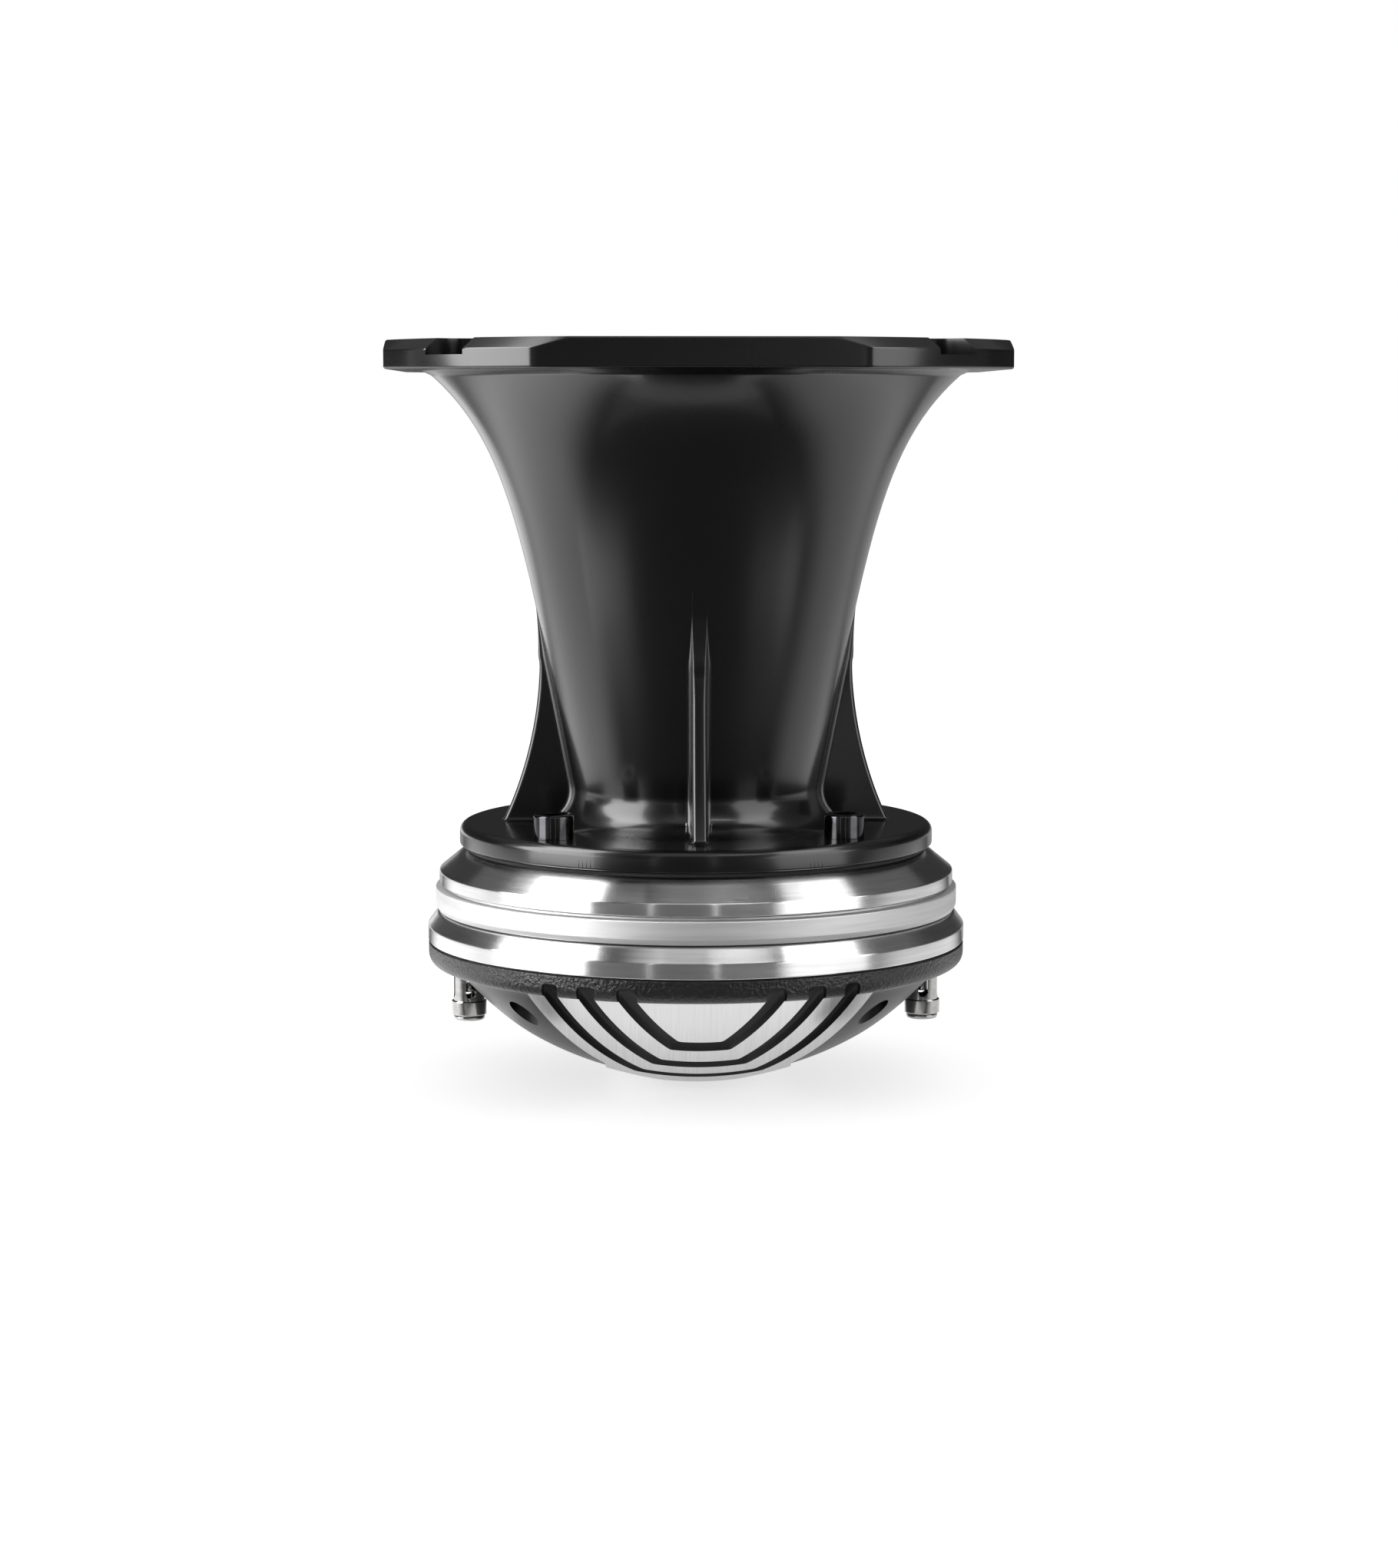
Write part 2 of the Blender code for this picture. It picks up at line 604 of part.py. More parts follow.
def make_front_plate():
    profile = [
        (FRONT_PLATE_TOP_RADIUS, Z_FRONT_TOP),
        (FRONT_PLATE_BAND_RADIUS, Z_FRONT_TOP - FRONT_PLATE_CONE),
        (FRONT_PLATE_BAND_RADIUS, Z_FRONT),
        (POLE_RADIUS + CLEARANCE, Z_FRONT),
        (POLE_RADIUS + CLEARANCE, Z_FRONT_TOP),
    ]
    front = turned("front_plate", profile, True)
    drill_bolt_holes(front, Z_FRONT_TOP - BOLT_GRIP - BOLT_END_ROOM, Z_FRONT_TOP + CUTTER_REACH)
    return as_part(front, TURNED_METAL)


def make_mid_ring():
    top = Z_MAGNET_TOP - MID_RING_STEP_HEIGHT
    inner = MAGNET_RADIUS + CLEARANCE
    profile = [
        (MID_RING_RADIUS - MID_RING_STEP, Z_MAGNET_TOP),
        (MID_RING_RADIUS - MID_RING_STEP, top),
        (MID_RING_RADIUS, top),
        (MID_RING_RADIUS, Z_MAGNET + MID_RING_CHAMFER_HEIGHT),
        (MID_RING_RADIUS - MID_RING_CHAMFER, Z_MAGNET),
        (inner, Z_MAGNET),
        (inner, Z_MAGNET_TOP),
    ]
    return as_part(turned("mid_ring", profile, True), SATIN_METAL)


def make_magnet():
    magnet = ring("magnet_ring", MAGNET_RADIUS - MAGNET_WALL, MAGNET_RADIUS, Z_MAGNET, Z_MAGNET_TOP,
                  INNER_ROUND)
    return as_part(magnet, MAGNET_COAT)


def make_rear_ring():
    profile = [
        (REAR_RING_TOP_RADIUS, Z_REAR_TOP),
        (REAR_RING_BAND_RADIUS, Z_REAR + REAR_RING_BAND),
        (REAR_RING_BAND_RADIUS, Z_REAR),
        (GAP_RADIUS, Z_REAR),
        (GAP_RADIUS, Z_REAR_TOP),
    ]
    plate_ring = turned("rear_ring", profile, True)
    below = Z_REAR - CUTTER_REACH
    for number, place in enumerate(cover_screw_places(), 1):
        hole = rod("rear_ring_screw_hole_%d" % number, COVER_SCREW_RADIUS + CLEARANCE,
                   below, Z_REAR + COVER_SCREW_GRIP + BOLT_END_ROOM, HOLE_ROUND)
        hole.location = place
        cut(plate_ring, hole)
    for number, place in enumerate(diaphragm_screw_places(), 1):
        hole = rod("rear_ring_small_hole_%d" % number, DIAPHRAGM_SCREW_RADIUS + CLEARANCE,
                   below, Z_REAR + DIAPHRAGM_SCREW_GRIP + BOLT_END_ROOM, SMALL_HOLE_ROUND)
        hole.location = place
        cut(plate_ring, hole)
    for side, x in TERMINAL_SIDES:
        relief = rod("terminal_relief_" + side, TERMINAL_POCKET_RADIUS, below,
                     Z_POST_TOP + POST_THREAD_ROOM, MEDIUM_ROUND)
        relief.location = (x, 0.0, 0.0)
        cut(plate_ring, relief)
    return as_part(plate_ring, TURNED_METAL)


PLUG_RADIUS = POLE_RADIUS - POLE_LIP - CLEARANCE
Z_PLUG_SEAT = Z_REAR + PLUG_SEAT_DEPTH
Z_PLUG_TOP = Z_REAR + PLUG_HEIGHT


def make_pole_piece():
    profile = [
        (POLE_RADIUS, Z_FRONT_TOP),
        (POLE_RADIUS, Z_REAR),
        (PLUG_RADIUS + CLEARANCE, Z_REAR),
        (PLUG_RADIUS + CLEARANCE, Z_PLUG_SEAT),
        (PLUG_EXIT_RADIUS + CLEARANCE, Z_PLUG_TOP),
        (THROAT_RADIUS, Z_FRONT_TOP),
    ]
    return as_part(turned("pole_piece", profile, True, INNER_ROUND), POLE_STEEL)


def make_phase_plug():
    """The plug that fills the dome's hollow: rings with slots between them, held by spokes."""
    face_radius = DOME_RADIUS - DOME_PLUG_GAP

    def face(radius):
        return radius, Z_DOME_CENTRE - math.sqrt(face_radius ** 2 - radius ** 2)

    top_pitch = (PLUG_EXIT_RADIUS - PLUG_NOSE_RADIUS) / PLUG_SLOT_COUNT
    face_pitch = PLUG_RADIUS / (PLUG_SLOT_COUNT + PLUG_FACE_MARGIN)
    half = PLUG_SLOT_WIDTH / 2
    wide = half + PLUG_SLOT_FLARE / 2
    slots = [(PLUG_NOSE_RADIUS + top_pitch * (number + PLUG_SLOT_START), face_pitch * (number + 1))
             for number in range(PLUG_SLOT_COUNT)]
    first_top, first_bottom = slots[0]
    plug = turned("phase_plug", [
        (0.0, Z_PLUG_TOP + PLUG_NOSE_HEIGHT), (PLUG_NOSE_RADIUS, Z_PLUG_TOP),
        (first_top - wide, Z_PLUG_TOP), face(first_bottom - half), face(first_bottom / 2), face(0.0)],
        False, INNER_ROUND)
    for number, (top, bottom) in enumerate(slots):
        inner_edge = [face(bottom + half), (top + wide, Z_PLUG_TOP)]
        if number + 1 < PLUG_SLOT_COUNT:
            next_top, next_bottom = slots[number + 1]
            outer_edge = [(next_top - wide, Z_PLUG_TOP), face(next_bottom - half)]
        else:
            outer_edge = [(PLUG_EXIT_RADIUS - CLEARANCE, Z_PLUG_TOP), (PLUG_RADIUS, Z_PLUG_SEAT),
                          face(PLUG_RADIUS)]
        join(plug, turned("plug_ring_%d" % number, outer_edge + inner_edge, True, INNER_ROUND))
    spoke_low = Z_PLUG_SEAT + PLUG_SPOKE_WIDTH
    spoke_high = spoke_low + PLUG_SPOKE_HEIGHT
    share = (spoke_high - Z_PLUG_SEAT) / (Z_PLUG_TOP - Z_PLUG_SEAT)
    reach = PLUG_RADIUS + (PLUG_EXIT_RADIUS - PLUG_RADIUS) * share - PLUG_SPOKE_WIDTH
    half_spoke = PLUG_SPOKE_WIDTH / 2
    for number in range(PLUG_SPOKE_COUNT):
        spoke = block("plug_spoke_%d" % number, (-reach, -half_spoke, spoke_low),
                      (reach, half_spoke, spoke_high))
        spoke.rotation_euler.z = math.radians(180 / PLUG_SPOKE_COUNT * number + PLUG_SPOKE_TURN)
        join(plug, spoke)
    return as_part(plug, BLACK_PLASTIC)


# Moving system: dome, former and coil move together along the Z axis

def make_diaphragm_dome():
    edge = DOME_EDGE_RADIUS
    inner = DOME_RADIUS
    outer = DOME_RADIUS + DOME_THICKNESS
    inner_radii = [edge * step / DOME_STEPS for step in range(DOME_STEPS + 1)]
    profile = [(radius, Z_DOME_CENTRE - math.sqrt(inner ** 2 - radius ** 2)) for radius in inner_radii]
    profile += [(radius, Z_DOME_CENTRE - math.sqrt(outer ** 2 - radius ** 2))
                for radius in reversed(inner_radii)]
    return as_part(turned("diaphragm_dome", profile, False, INNER_ROUND), TITANIUM)


def make_coil():
    skirt = Z_DOME_EDGE - FORMER_SKIRT
    coil_low = Z_REAR + COIL_START
    coil_high = coil_low + COIL_HEIGHT
    former = ring("coil_former", FORMER_RADIUS, FORMER_RADIUS + FORMER_WALL, skirt,
                  coil_high + CLEARANCE, INNER_ROUND)
    coil = ring("voice_coil", COIL_RADIUS, COIL_RADIUS + COIL_WALL, coil_low, coil_high, INNER_ROUND)
    as_part(former, AMBER_FILM)
    as_part(coil, COPPER_WIRE)


def make_surround():
    """The half-roll of film between the moving former and the fixed ring."""
    inner = SURROUND_RADIUS
    outer = SURROUND_RADIUS + SURROUND_WIDTH
    height = Z_DOME_EDGE - SURROUND_THICKNESS
    middle = ((inner + outer) / 2, height)
    roll = SURROUND_WIDTH / 2 - SURROUND_LAND
    thick = SURROUND_THICKNESS
    profile = [(inner, height)] + arc(middle, roll, 180.0, 360.0, FILLET_STEPS) + [(outer, height)]
    profile += [(outer, height + thick)] + arc((middle[0], height + thick), roll - thick, 360.0, 180.0,
                                          FILLET_STEPS)
    profile += [(inner, height + thick)]
    return as_part(turned("surround", list(reversed(profile)), True, INNER_ROUND), AMBER_FILM)


def diaphragm_screw_places():
    middle = (DIAPHRAGM_RING_BORE + DIAPHRAGM_RING_RADIUS) / 2
    return [on_circle(middle, angle) for angle in diagonal_angles(DIAPHRAGM_SCREW_COUNT)]


def make_diaphragm_ring():
    top = Z_DIAPHRAGM_RING + DIAPHRAGM_RING_HEIGHT
    clamp = ring("diaphragm_ring", DIAPHRAGM_RING_BORE, DIAPHRAGM_RING_RADIUS, Z_DIAPHRAGM_RING, top,
                 INNER_ROUND)
    for number, place in enumerate(diaphragm_screw_places(), 1):
        hole = rod("diaphragm_hole_%d" % number, DIAPHRAGM_SCREW_RADIUS + CLEARANCE,
                   Z_DIAPHRAGM_RING - CUTTER_REACH, top + CUTTER_REACH, SMALL_HOLE_ROUND)
        hole.location = place
        cut(clamp, hole)
        seat = Z_DIAPHRAGM_RING - CLEARANCE
        length = Z_REAR + DIAPHRAGM_SCREW_GRIP - seat
        screw, _ = socket_screw("diaphragm_screw_%d" % number, seat, DIAPHRAGM_SCREW_HEAD_RADIUS,
                                -DIAPHRAGM_SCREW_HEAD_HEIGHT, DIAPHRAGM_SCREW_RADIUS, length, 0.0, 0.0)
        screw.location = place
        as_part(screw, BLACK_STEEL)
    return as_part(clamp, SATIN_METAL)


# Rear cover: a cast dome, its face turned bright, with nested grooves on two sides

def cover_screw_places():
    angle = COVER_SCREW_ANGLE
    return [on_circle(COVER_SCREW_CIRCLE, turn) for turn in (angle, 180 - angle, 180 + angle, -angle)]


def sphere_cutter(name, radius):
    """A ball round the centre of the cover's dome."""
    mesh = bpy.data.meshes.new(name)
    shape = bmesh.new()
    bmesh.ops.create_uvsphere(shape, u_segments=INNER_ROUND, v_segments=MEDIUM_ROUND, radius=radius,
                              matrix=Matrix.Translation((0.0, 0.0, COVER_CENTRE)))
    shape.to_mesh(mesh)
    shape.free()
    return as_cutter(bpy.data.objects.new(name, mesh))


def bent_line(edge, arm, reach):
    """Plan points of a line that crosses the front and turns out to the rim at 45 degrees.

    edge is the crossing's distance from the axis, arm the distance of the 45 degree stretch
    from the axis, and reach the radius at which it ends.
    """
    corner = edge - arm * math.sqrt(2)
    run = (math.sqrt(2 * reach ** 2 - (edge - corner) ** 2) - (edge + corner)) / 2
    end = corner + run
    return [(-end, -edge - run), (-corner, -edge), (corner, -edge), (end, -edge - run)]


def groove_outline(number):
    edge = COVER_TURNED_RADIUS - GROOVE_EDGE_INSET - GROOVE_PITCH * number
    arm = COVER_TURNED_RADIUS - GROOVE_ARM_INSET - GROOVE_ARM_PITCH * number
    reach = COVER_RIM_RADIUS + CUTTER_REACH
    outer = bent_line(edge, arm, reach)
    inner = bent_line(edge - GROOVE_WIDTH, arm - GROOVE_ARM_WIDTH, reach)
    return outer + list(reversed(inner))


def wing_outline():
    """The recessed side of the cover, from its straight inner edge out to the rim."""
    inner = WING_INNER_EDGE
    offset = WING_ARM_OFFSET
    reach = COVER_TURNED_RADIUS + WING_RIM_REACH
    end = (math.sqrt(2 * reach ** 2 - offset ** 2) - offset) / 2
    angle = math.degrees(math.atan2(end + offset, end))
    rim = arc((0.0, 0.0), reach, -angle, angle, HOLE_ROUND)
    return [(inner, inner + offset), (inner, -inner - offset)] + rim


def make_rear_cover():
    cavity = COVER_DOME_RADIUS - COVER_WALL
    cavity_foot = COVER_CENTRE - math.sqrt(cavity ** 2 - CAVITY_RADIUS ** 2)
    cavity_radii = [CAVITY_RADIUS * step / DOME_STEPS for step in range(DOME_STEPS)]
    profile = [(radius, COVER_CENTRE - math.sqrt(cavity ** 2 - radius ** 2)) for radius in cavity_radii]
    seal_inner = COVER_RIM_RADIUS - SEAL_INSET - SEAL_WIDTH - CLEARANCE
    seal_floor = Z_COVER - SEAL_THICKNESS - CLEARANCE
    profile += [(CAVITY_RADIUS, cavity_foot), (CAVITY_RADIUS, Z_COVER), (seal_inner, Z_COVER),
                (seal_inner, seal_floor), (COVER_RIM_RADIUS, seal_floor)]
    for step in range(RIM_STEPS):
        turn = math.radians(90 * step / RIM_STEPS)
        profile.append((COVER_TURNED_RADIUS + COVER_RIM_WIDTH * math.cos(turn) ** COVER_RIM_FULLNESS,
                        Z_LIP + COVER_RIM_ROUND * (1 - math.sin(turn) ** COVER_RIM_FULLNESS)))
    skin_radii = [COVER_TURNED_RADIUS * (1 - step / SKIN_STEPS) for step in range(SKIN_STEPS + 1)]
    profile += [(radius, dome_height(radius, COVER_DOME_RADIUS)) for radius in skin_radii]
    cover = turned("rear_cover", profile, False)

    groove_floor = sphere_cutter("groove_floor", COVER_DOME_RADIUS - GROOVE_DEPTH)
    wing_floor = sphere_cutter("wing_floor", COVER_DOME_RADIUS - WING_DEPTH)
    low = -CUTTER_REACH
    for half_turn in (0, 180):
        turn = Matrix.Rotation(math.radians(half_turn), 4, "Z")
        for number in range(GROOVE_COUNT):
            groove = plate("groove_%d_%d" % (number, half_turn), [groove_outline(number)],
                           low, Z_LIP + GROOVE_RIM_NOTCH, turn)
            cut(groove, groove_floor)
            cut(cover, groove)
        wing = plate("wing_%d" % half_turn, [wing_outline()], low, Z_LIP + WING_RIM_DEPTH, turn)
        cut(wing, wing_floor)
        cut(cover, wing)
    seat = Z_COVER - COVER_SCREW_SEAT_DEPTH
    for number, place in enumerate(cover_screw_places(), 1):
        shank = rod("cover_hole_%d" % number, COVER_SCREW_RADIUS + CLEARANCE, low,
                    Z_COVER + CUTTER_REACH, HOLE_ROUND)
        head = rod("cover_counterbore_%d" % number, COVER_SCREW_HEAD_RADIUS + COVER_SCREW_HEAD_PLAY,
                   low, seat)
        for cutter in (shank, head):
            cutter.location = place
            cut(cover, cutter)
    for side, x in TERMINAL_SIDES:
        bore = rod("terminal_bore_" + side, COLLAR_RADIUS + COLLAR_PLAY, low, Z_WEB, MEDIUM_ROUND)
        hole = rod("terminal_hole_" + side, BUSH_RADIUS + CLEARANCE, low, Z_COVER)
        pocket = rod("terminal_pocket_" + side, TERMINAL_POCKET_RADIUS, Z_WEB_TOP,
                     Z_COVER + CUTTER_REACH, MEDIUM_ROUND)
        for cutter in (bore, hole, pocket):
            cutter.location = (x, 0.0, 0.0)
            cut(cover, cutter)
        inward = math.copysign(1.0, x)
        ends = sorted((inward * (CAVITY_RADIUS - CUTTER_REACH),
                       inward * (TERMINAL_CIRCLE - TERMINAL_POCKET_RADIUS + CLEARANCE)))
        half = LEAD_CHANNEL_WIDTH / 2
        channel = block("lead_channel_" + side, (ends[0], -half, Z_COVER - LEAD_CHANNEL_DEPTH),
                        (ends[1], half, Z_COVER + CUTTER_REACH))
        cut(cover, channel)
    return as_part(cover, DARK_CAST)


def make_cover_screws():
    seat = Z_COVER - COVER_SCREW_SEAT_DEPTH - CLEARANCE
    length = Z_REAR + COVER_SCREW_GRIP - seat
    for number, place in enumerate(cover_screw_places(), 1):
        screw, keys = socket_screw("cover_screw_%d" % number, seat, COVER_SCREW_HEAD_RADIUS,
                                   -COVER_SCREW_HEAD_HEIGHT, COVER_SCREW_RADIUS, length,
                                   COVER_SCREW_SOCKET_RADIUS, COVER_SCREW_SOCKET_DEPTH)
        for piece in [screw] + keys:
            piece.location = place
        as_part(screw, BLACK_STEEL)


def make_cover_gasket():
    outer = COVER_RIM_RADIUS - SEAL_INSET
    top = Z_REAR - CLEARANCE
    gasket = ring("cover_gasket", outer - SEAL_WIDTH, outer, top - SEAL_THICKNESS, top)
    return as_part(gasket, GASKET_FIBRE)


def make_damping_pad():
    """A felt disc on the floor of the cover, behind the dome."""
    floor = COVER_DOME_RADIUS - COVER_WALL - CLEARANCE
    top = floor - PAD_THICKNESS
    radii = [PAD_RADIUS * step / PAD_STEPS for step in range(PAD_STEPS + 1)]
    profile = [(radius, COVER_CENTRE - math.sqrt(top ** 2 - radius ** 2)) for radius in radii]
    profile += [(radius, COVER_CENTRE - math.sqrt(floor ** 2 - radius ** 2)) for radius in reversed(radii)]
    return as_part(turned("damping_pad", profile, False, MEDIUM_ROUND), GREY_FELT)


# Spring terminals: a sleeve slides up a fixed post against a spring to take a wire

TERMINAL_SIDES = (("left", -TERMINAL_CIRCLE), ("right", TERMINAL_CIRCLE))
SLEEVE_TURNS = {"left": LEFT_SLEEVE_TURN, "right": 0.0}
BUSH_RADIUS = POST_RADIUS + CLEARANCE + BUSH_WALL
Z_WEB_TOP = Z_COVER - TERMINAL_POCKET_DEPTH
Z_WEB = Z_WEB_TOP - TERMINAL_WEB
Z_BUSH = Z_WEB - BUSH_TAIL
Z_BUSH_TOP = Z_WEB_TOP + CLEARANCE + BUSH_FLANGE_THICKNESS
Z_TAG = Z_BUSH_TOP + CLEARANCE
Z_NUT = Z_TAG + TAG_THICKNESS + CLEARANCE
Z_POST_TOP = Z_NUT + NUT_HEIGHT + POST_THREAD_ROOM
Z_SHOULDER = Z_BUSH - CLEARANCE - POST_SHOULDER_HEIGHT
Z_POST = Z_SHOULDER - POST_LENGTH
Z_SLEEVE_TOP = Z_SHOULDER - SLEEVE_TOP_ROOM - SLEEVE_TRAVEL
Z_SLEEVE = Z_SLEEVE_TOP - SLEEVE_LENGTH
Z_LEDGE_TOP = Z_SLEEVE_TOP - SLEEVE_LEDGE_BELOW_TOP


def spring_path():
    """The spring's wire centre line, from the sleeve's ledge to the post's shoulder."""
    radius = (POST_RADIUS + SLEEVE_BORE_RADIUS) / 2
    low = Z_LEDGE_TOP + CLEARANCE + SPRING_WIRE_RADIUS
    high = Z_SHOULDER - CLEARANCE - SPRING_WIRE_RADIUS
    count = round(SPRING_TURNS * SPRING_POINTS_PER_TURN)
    points = []
    for step in range(count + 1):
        share = step / count
        place = on_circle(radius, 360 * SPRING_TURNS * share)
        points.append(Vector((place.x, place.y, low + (high - low) * share)))
    return points


def least_gap(points, wire_radius, per_turn):
    """Smallest space between turns of a wire, measured between its points."""
    apart = per_turn // 2
    least = min((first - second).length
                for index, first in enumerate(points)
                for second in points[index + apart:])
    return least - 2 * wire_radius


def polygon(radius, sides):
    """Corners of a regular polygon round the axis."""
    return [tuple(on_circle(radius, 360 * number / sides).xy) for number in range(sides)]


def make_terminal(side, x):
    hub = bpy.data.objects.new("terminal_hub_" + side, None)
    hub.location = (x, 0.0, 0.0)
    speaker.objects.link(hub)
    inward = -math.copysign(1.0, x)
    pieces = []

    bush_bore = POST_RADIUS + CLEARANCE
    bush = turned("terminal_bush_" + side, [
        (BUSH_FLANGE_RADIUS, Z_BUSH_TOP), (BUSH_FLANGE_RADIUS, Z_WEB_TOP + CLEARANCE),
        (BUSH_RADIUS, Z_WEB_TOP + CLEARANCE), (BUSH_RADIUS, Z_BUSH), (bush_bore, Z_BUSH),
        (bush_bore, Z_BUSH_TOP)], True, SMALL_ROUND)
    pieces.append(as_part(bush, BLACK_PLASTIC))

    post = turned("terminal_post_" + side, [
        (0.0, Z_POST_TOP), (POST_RADIUS, Z_POST_TOP), (POST_RADIUS, Z_SHOULDER + POST_SHOULDER_HEIGHT),
        (POST_SHOULDER_RADIUS, Z_SHOULDER + POST_SHOULDER_HEIGHT), (POST_SHOULDER_RADIUS, Z_SHOULDER),
        (POST_RADIUS, Z_SHOULDER), (POST_RADIUS, Z_POST), (0.0, Z_POST)], False, SMALL_ROUND)
    reach = POST_RADIUS + CUTTER_REACH
    cross = rod("post_cross_hole_" + side, POST_CROSS_HOLE_RADIUS, -reach, reach, HOLE_ROUND)
    cross.rotation_euler.x = math.radians(90)
    cross.location.z = Z_POST + POST_CROSS_HOLE_HEIGHT
    cut(post, cross)
    pieces += [as_part(post, BRIGHT_PLATE), cross]

    half = TAG_TAIL_WIDTH / 2
    spread = math.degrees(math.asin(half / TAG_RADIUS))
    eye = arc((0.0, 0.0), TAG_RADIUS, spread, 360 - spread, TAG_STEPS)
    tail = [(TAG_TAIL_LENGTH, -half), (TAG_TAIL_LENGTH, half)]
    hole = polygon(POST_RADIUS + CLEARANCE, SMALL_ROUND)
    facing = Matrix.Rotation(math.radians(0 if inward > 0 else 180), 4, "Z")
    tag = plate("solder_tag_" + side, [eye + tail, hole], Z_TAG, Z_TAG + TAG_THICKNESS, facing)
    pieces.append(as_part(tag, BRIGHT_PLATE))

    nut = plate("terminal_nut_" + side, [polygon(NUT_RADIUS, HEXAGON), hole], Z_NUT, Z_NUT + NUT_HEIGHT)
    pieces.append(as_part(nut, BRIGHT_PLATE))

    guide = POST_RADIUS + CLEARANCE
    ledge = Z_LEDGE_TOP - SLEEVE_LEDGE_HEIGHT
    shank_radius = SLEEVE_BORE_RADIUS - CLEARANCE
    sleeve = turned("terminal_sleeve_" + side, [
        (SLEEVE_RADIUS, Z_SLEEVE_TOP), (SLEEVE_RADIUS, Z_SLEEVE + COLLAR_HEIGHT),
        (COLLAR_RADIUS, Z_SLEEVE + COLLAR_HEIGHT), (COLLAR_RADIUS, Z_SLEEVE),
        (SLEEVE_BORE_RADIUS, Z_SLEEVE), (SLEEVE_BORE_RADIUS, ledge), (guide, ledge),
        (guide, Z_LEDGE_TOP), (SLEEVE_BORE_RADIUS, Z_LEDGE_TOP), (SLEEVE_BORE_RADIUS, Z_SLEEVE_TOP)],
        True, MEDIUM_ROUND)
    half_slot = SLEEVE_SLOT_WIDTH / 2
    floor = Z_SLEEVE + SLEEVE_SLOT_FLOOR + half_slot
    above = Z_SLEEVE_TOP + CUTTER_REACH
    slot_outline = [(half_slot, above), (-half_slot, above)]
    slot_outline += arc((0.0, floor), half_slot, 180, 360, SLOT_STEPS)
    reach = SLEEVE_RADIUS + CUTTER_REACH
    for number in range(2):
        turn = Matrix.Rotation(math.radians(SLEEVE_TURNS[side] + 90 * number), 4, "Z")
        upright = turn @ Matrix.Rotation(math.radians(90), 4, "X")
        slot = plate("sleeve_slot_%s_%d" % (side, number), [slot_outline], -reach, reach, upright)
        cut(sleeve, slot)
        pieces.append(slot)
    pieces.append(as_part(sleeve, BRIGHT_PLATE))

    plug_top = Z_SLEEVE - CLEARANCE
    end_plug = turned("terminal_plug_" + side, [
        (0.0, plug_top + END_PLUG_SHANK), (shank_radius, plug_top + END_PLUG_SHANK),
        (shank_radius, plug_top), (SLEEVE_RADIUS, plug_top), (SLEEVE_RADIUS, plug_top - END_PLUG_HEIGHT),
        (0.0, plug_top - END_PLUG_HEIGHT)], False, MEDIUM_ROUND)
    pieces.append(as_part(end_plug, BRIGHT_PLATE))

    path = spring_path()
    spring = tube("terminal_spring_" + side, path, SPRING_WIRE_RADIUS, 1)
    pieces.append(as_part(spring, SATIN_METAL))
    gap = least_gap(path, SPRING_WIRE_RADIUS, SPRING_POINTS_PER_TURN)
    print("least gap in terminal_spring_%s: %.2f mm" % (side, gap * 1000))

    for piece in pieces:
        piece.parent = hub


def make_lead(side, x):
    """The insulated lead that hangs between the solder tag and the side of the diaphragm ring."""
    outward = math.copysign(1.0, x)
    start = TERMINAL_CIRCLE - TAG_TAIL_LENGTH + TAG_TAIL_WIDTH
    end = DIAPHRAGM_RING_RADIUS + CLEARANCE
    height = Z_TAG - CLEARANCE - LEAD_RADIUS
    points = []
    for step in range(LEAD_STEPS + 1):
        share = step / LEAD_STEPS
        sag = LEAD_SAG * math.sin(math.pi * share)
        points.append(Vector((outward * (start + (end - start) * share), 0.0, height - sag)))
    return as_part(tube("lead_" + side, points, LEAD_RADIUS, 2), BLACK_PLASTIC)


make_horn()
make_throat_gasket()
make_horn_bolts()
make_front_plate()
make_mid_ring()
make_magnet()
make_rear_ring()
make_pole_piece()
make_phase_plug()
make_diaphragm_dome()
make_coil()
make_surround()
make_diaphragm_ring()
make_rear_cover()
make_cover_screws()
make_cover_gasket()
make_damping_pad()
for terminal_side, terminal_x in TERMINAL_SIDES:
    make_terminal(terminal_side, terminal_x)
    make_lead(terminal_side, terminal_x)
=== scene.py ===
# Looks of a horn loudspeaker: a compression driver bolted under a cast round horn, mouth up.
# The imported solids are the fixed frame, and each section below dresses one piece of it.
# Lengths are metres, with Z up the horn's axis and the front towards -Y.
import math

import bmesh
import bpy
import numpy as np
from mathutils import Matrix, Vector


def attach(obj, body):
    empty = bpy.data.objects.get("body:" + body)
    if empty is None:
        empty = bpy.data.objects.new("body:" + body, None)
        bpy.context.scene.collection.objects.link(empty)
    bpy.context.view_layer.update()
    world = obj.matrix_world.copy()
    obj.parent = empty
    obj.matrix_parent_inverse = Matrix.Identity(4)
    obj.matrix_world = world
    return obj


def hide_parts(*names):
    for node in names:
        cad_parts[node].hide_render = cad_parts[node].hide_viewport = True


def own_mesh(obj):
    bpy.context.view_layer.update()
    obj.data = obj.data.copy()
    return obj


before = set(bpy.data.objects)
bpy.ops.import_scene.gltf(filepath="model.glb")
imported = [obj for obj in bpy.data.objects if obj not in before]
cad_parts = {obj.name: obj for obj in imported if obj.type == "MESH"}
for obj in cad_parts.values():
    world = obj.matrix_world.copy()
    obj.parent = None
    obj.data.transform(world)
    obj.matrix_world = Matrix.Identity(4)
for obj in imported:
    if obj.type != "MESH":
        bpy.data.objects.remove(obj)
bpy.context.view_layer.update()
BODY = "horn_and_driver"


# Cast horn
# The real horn is one aluminium casting with a powder coat: a tapering tube that opens into a
# flare, a round base flange, a mouth flange with four flats and screw pockets, and four ribs.

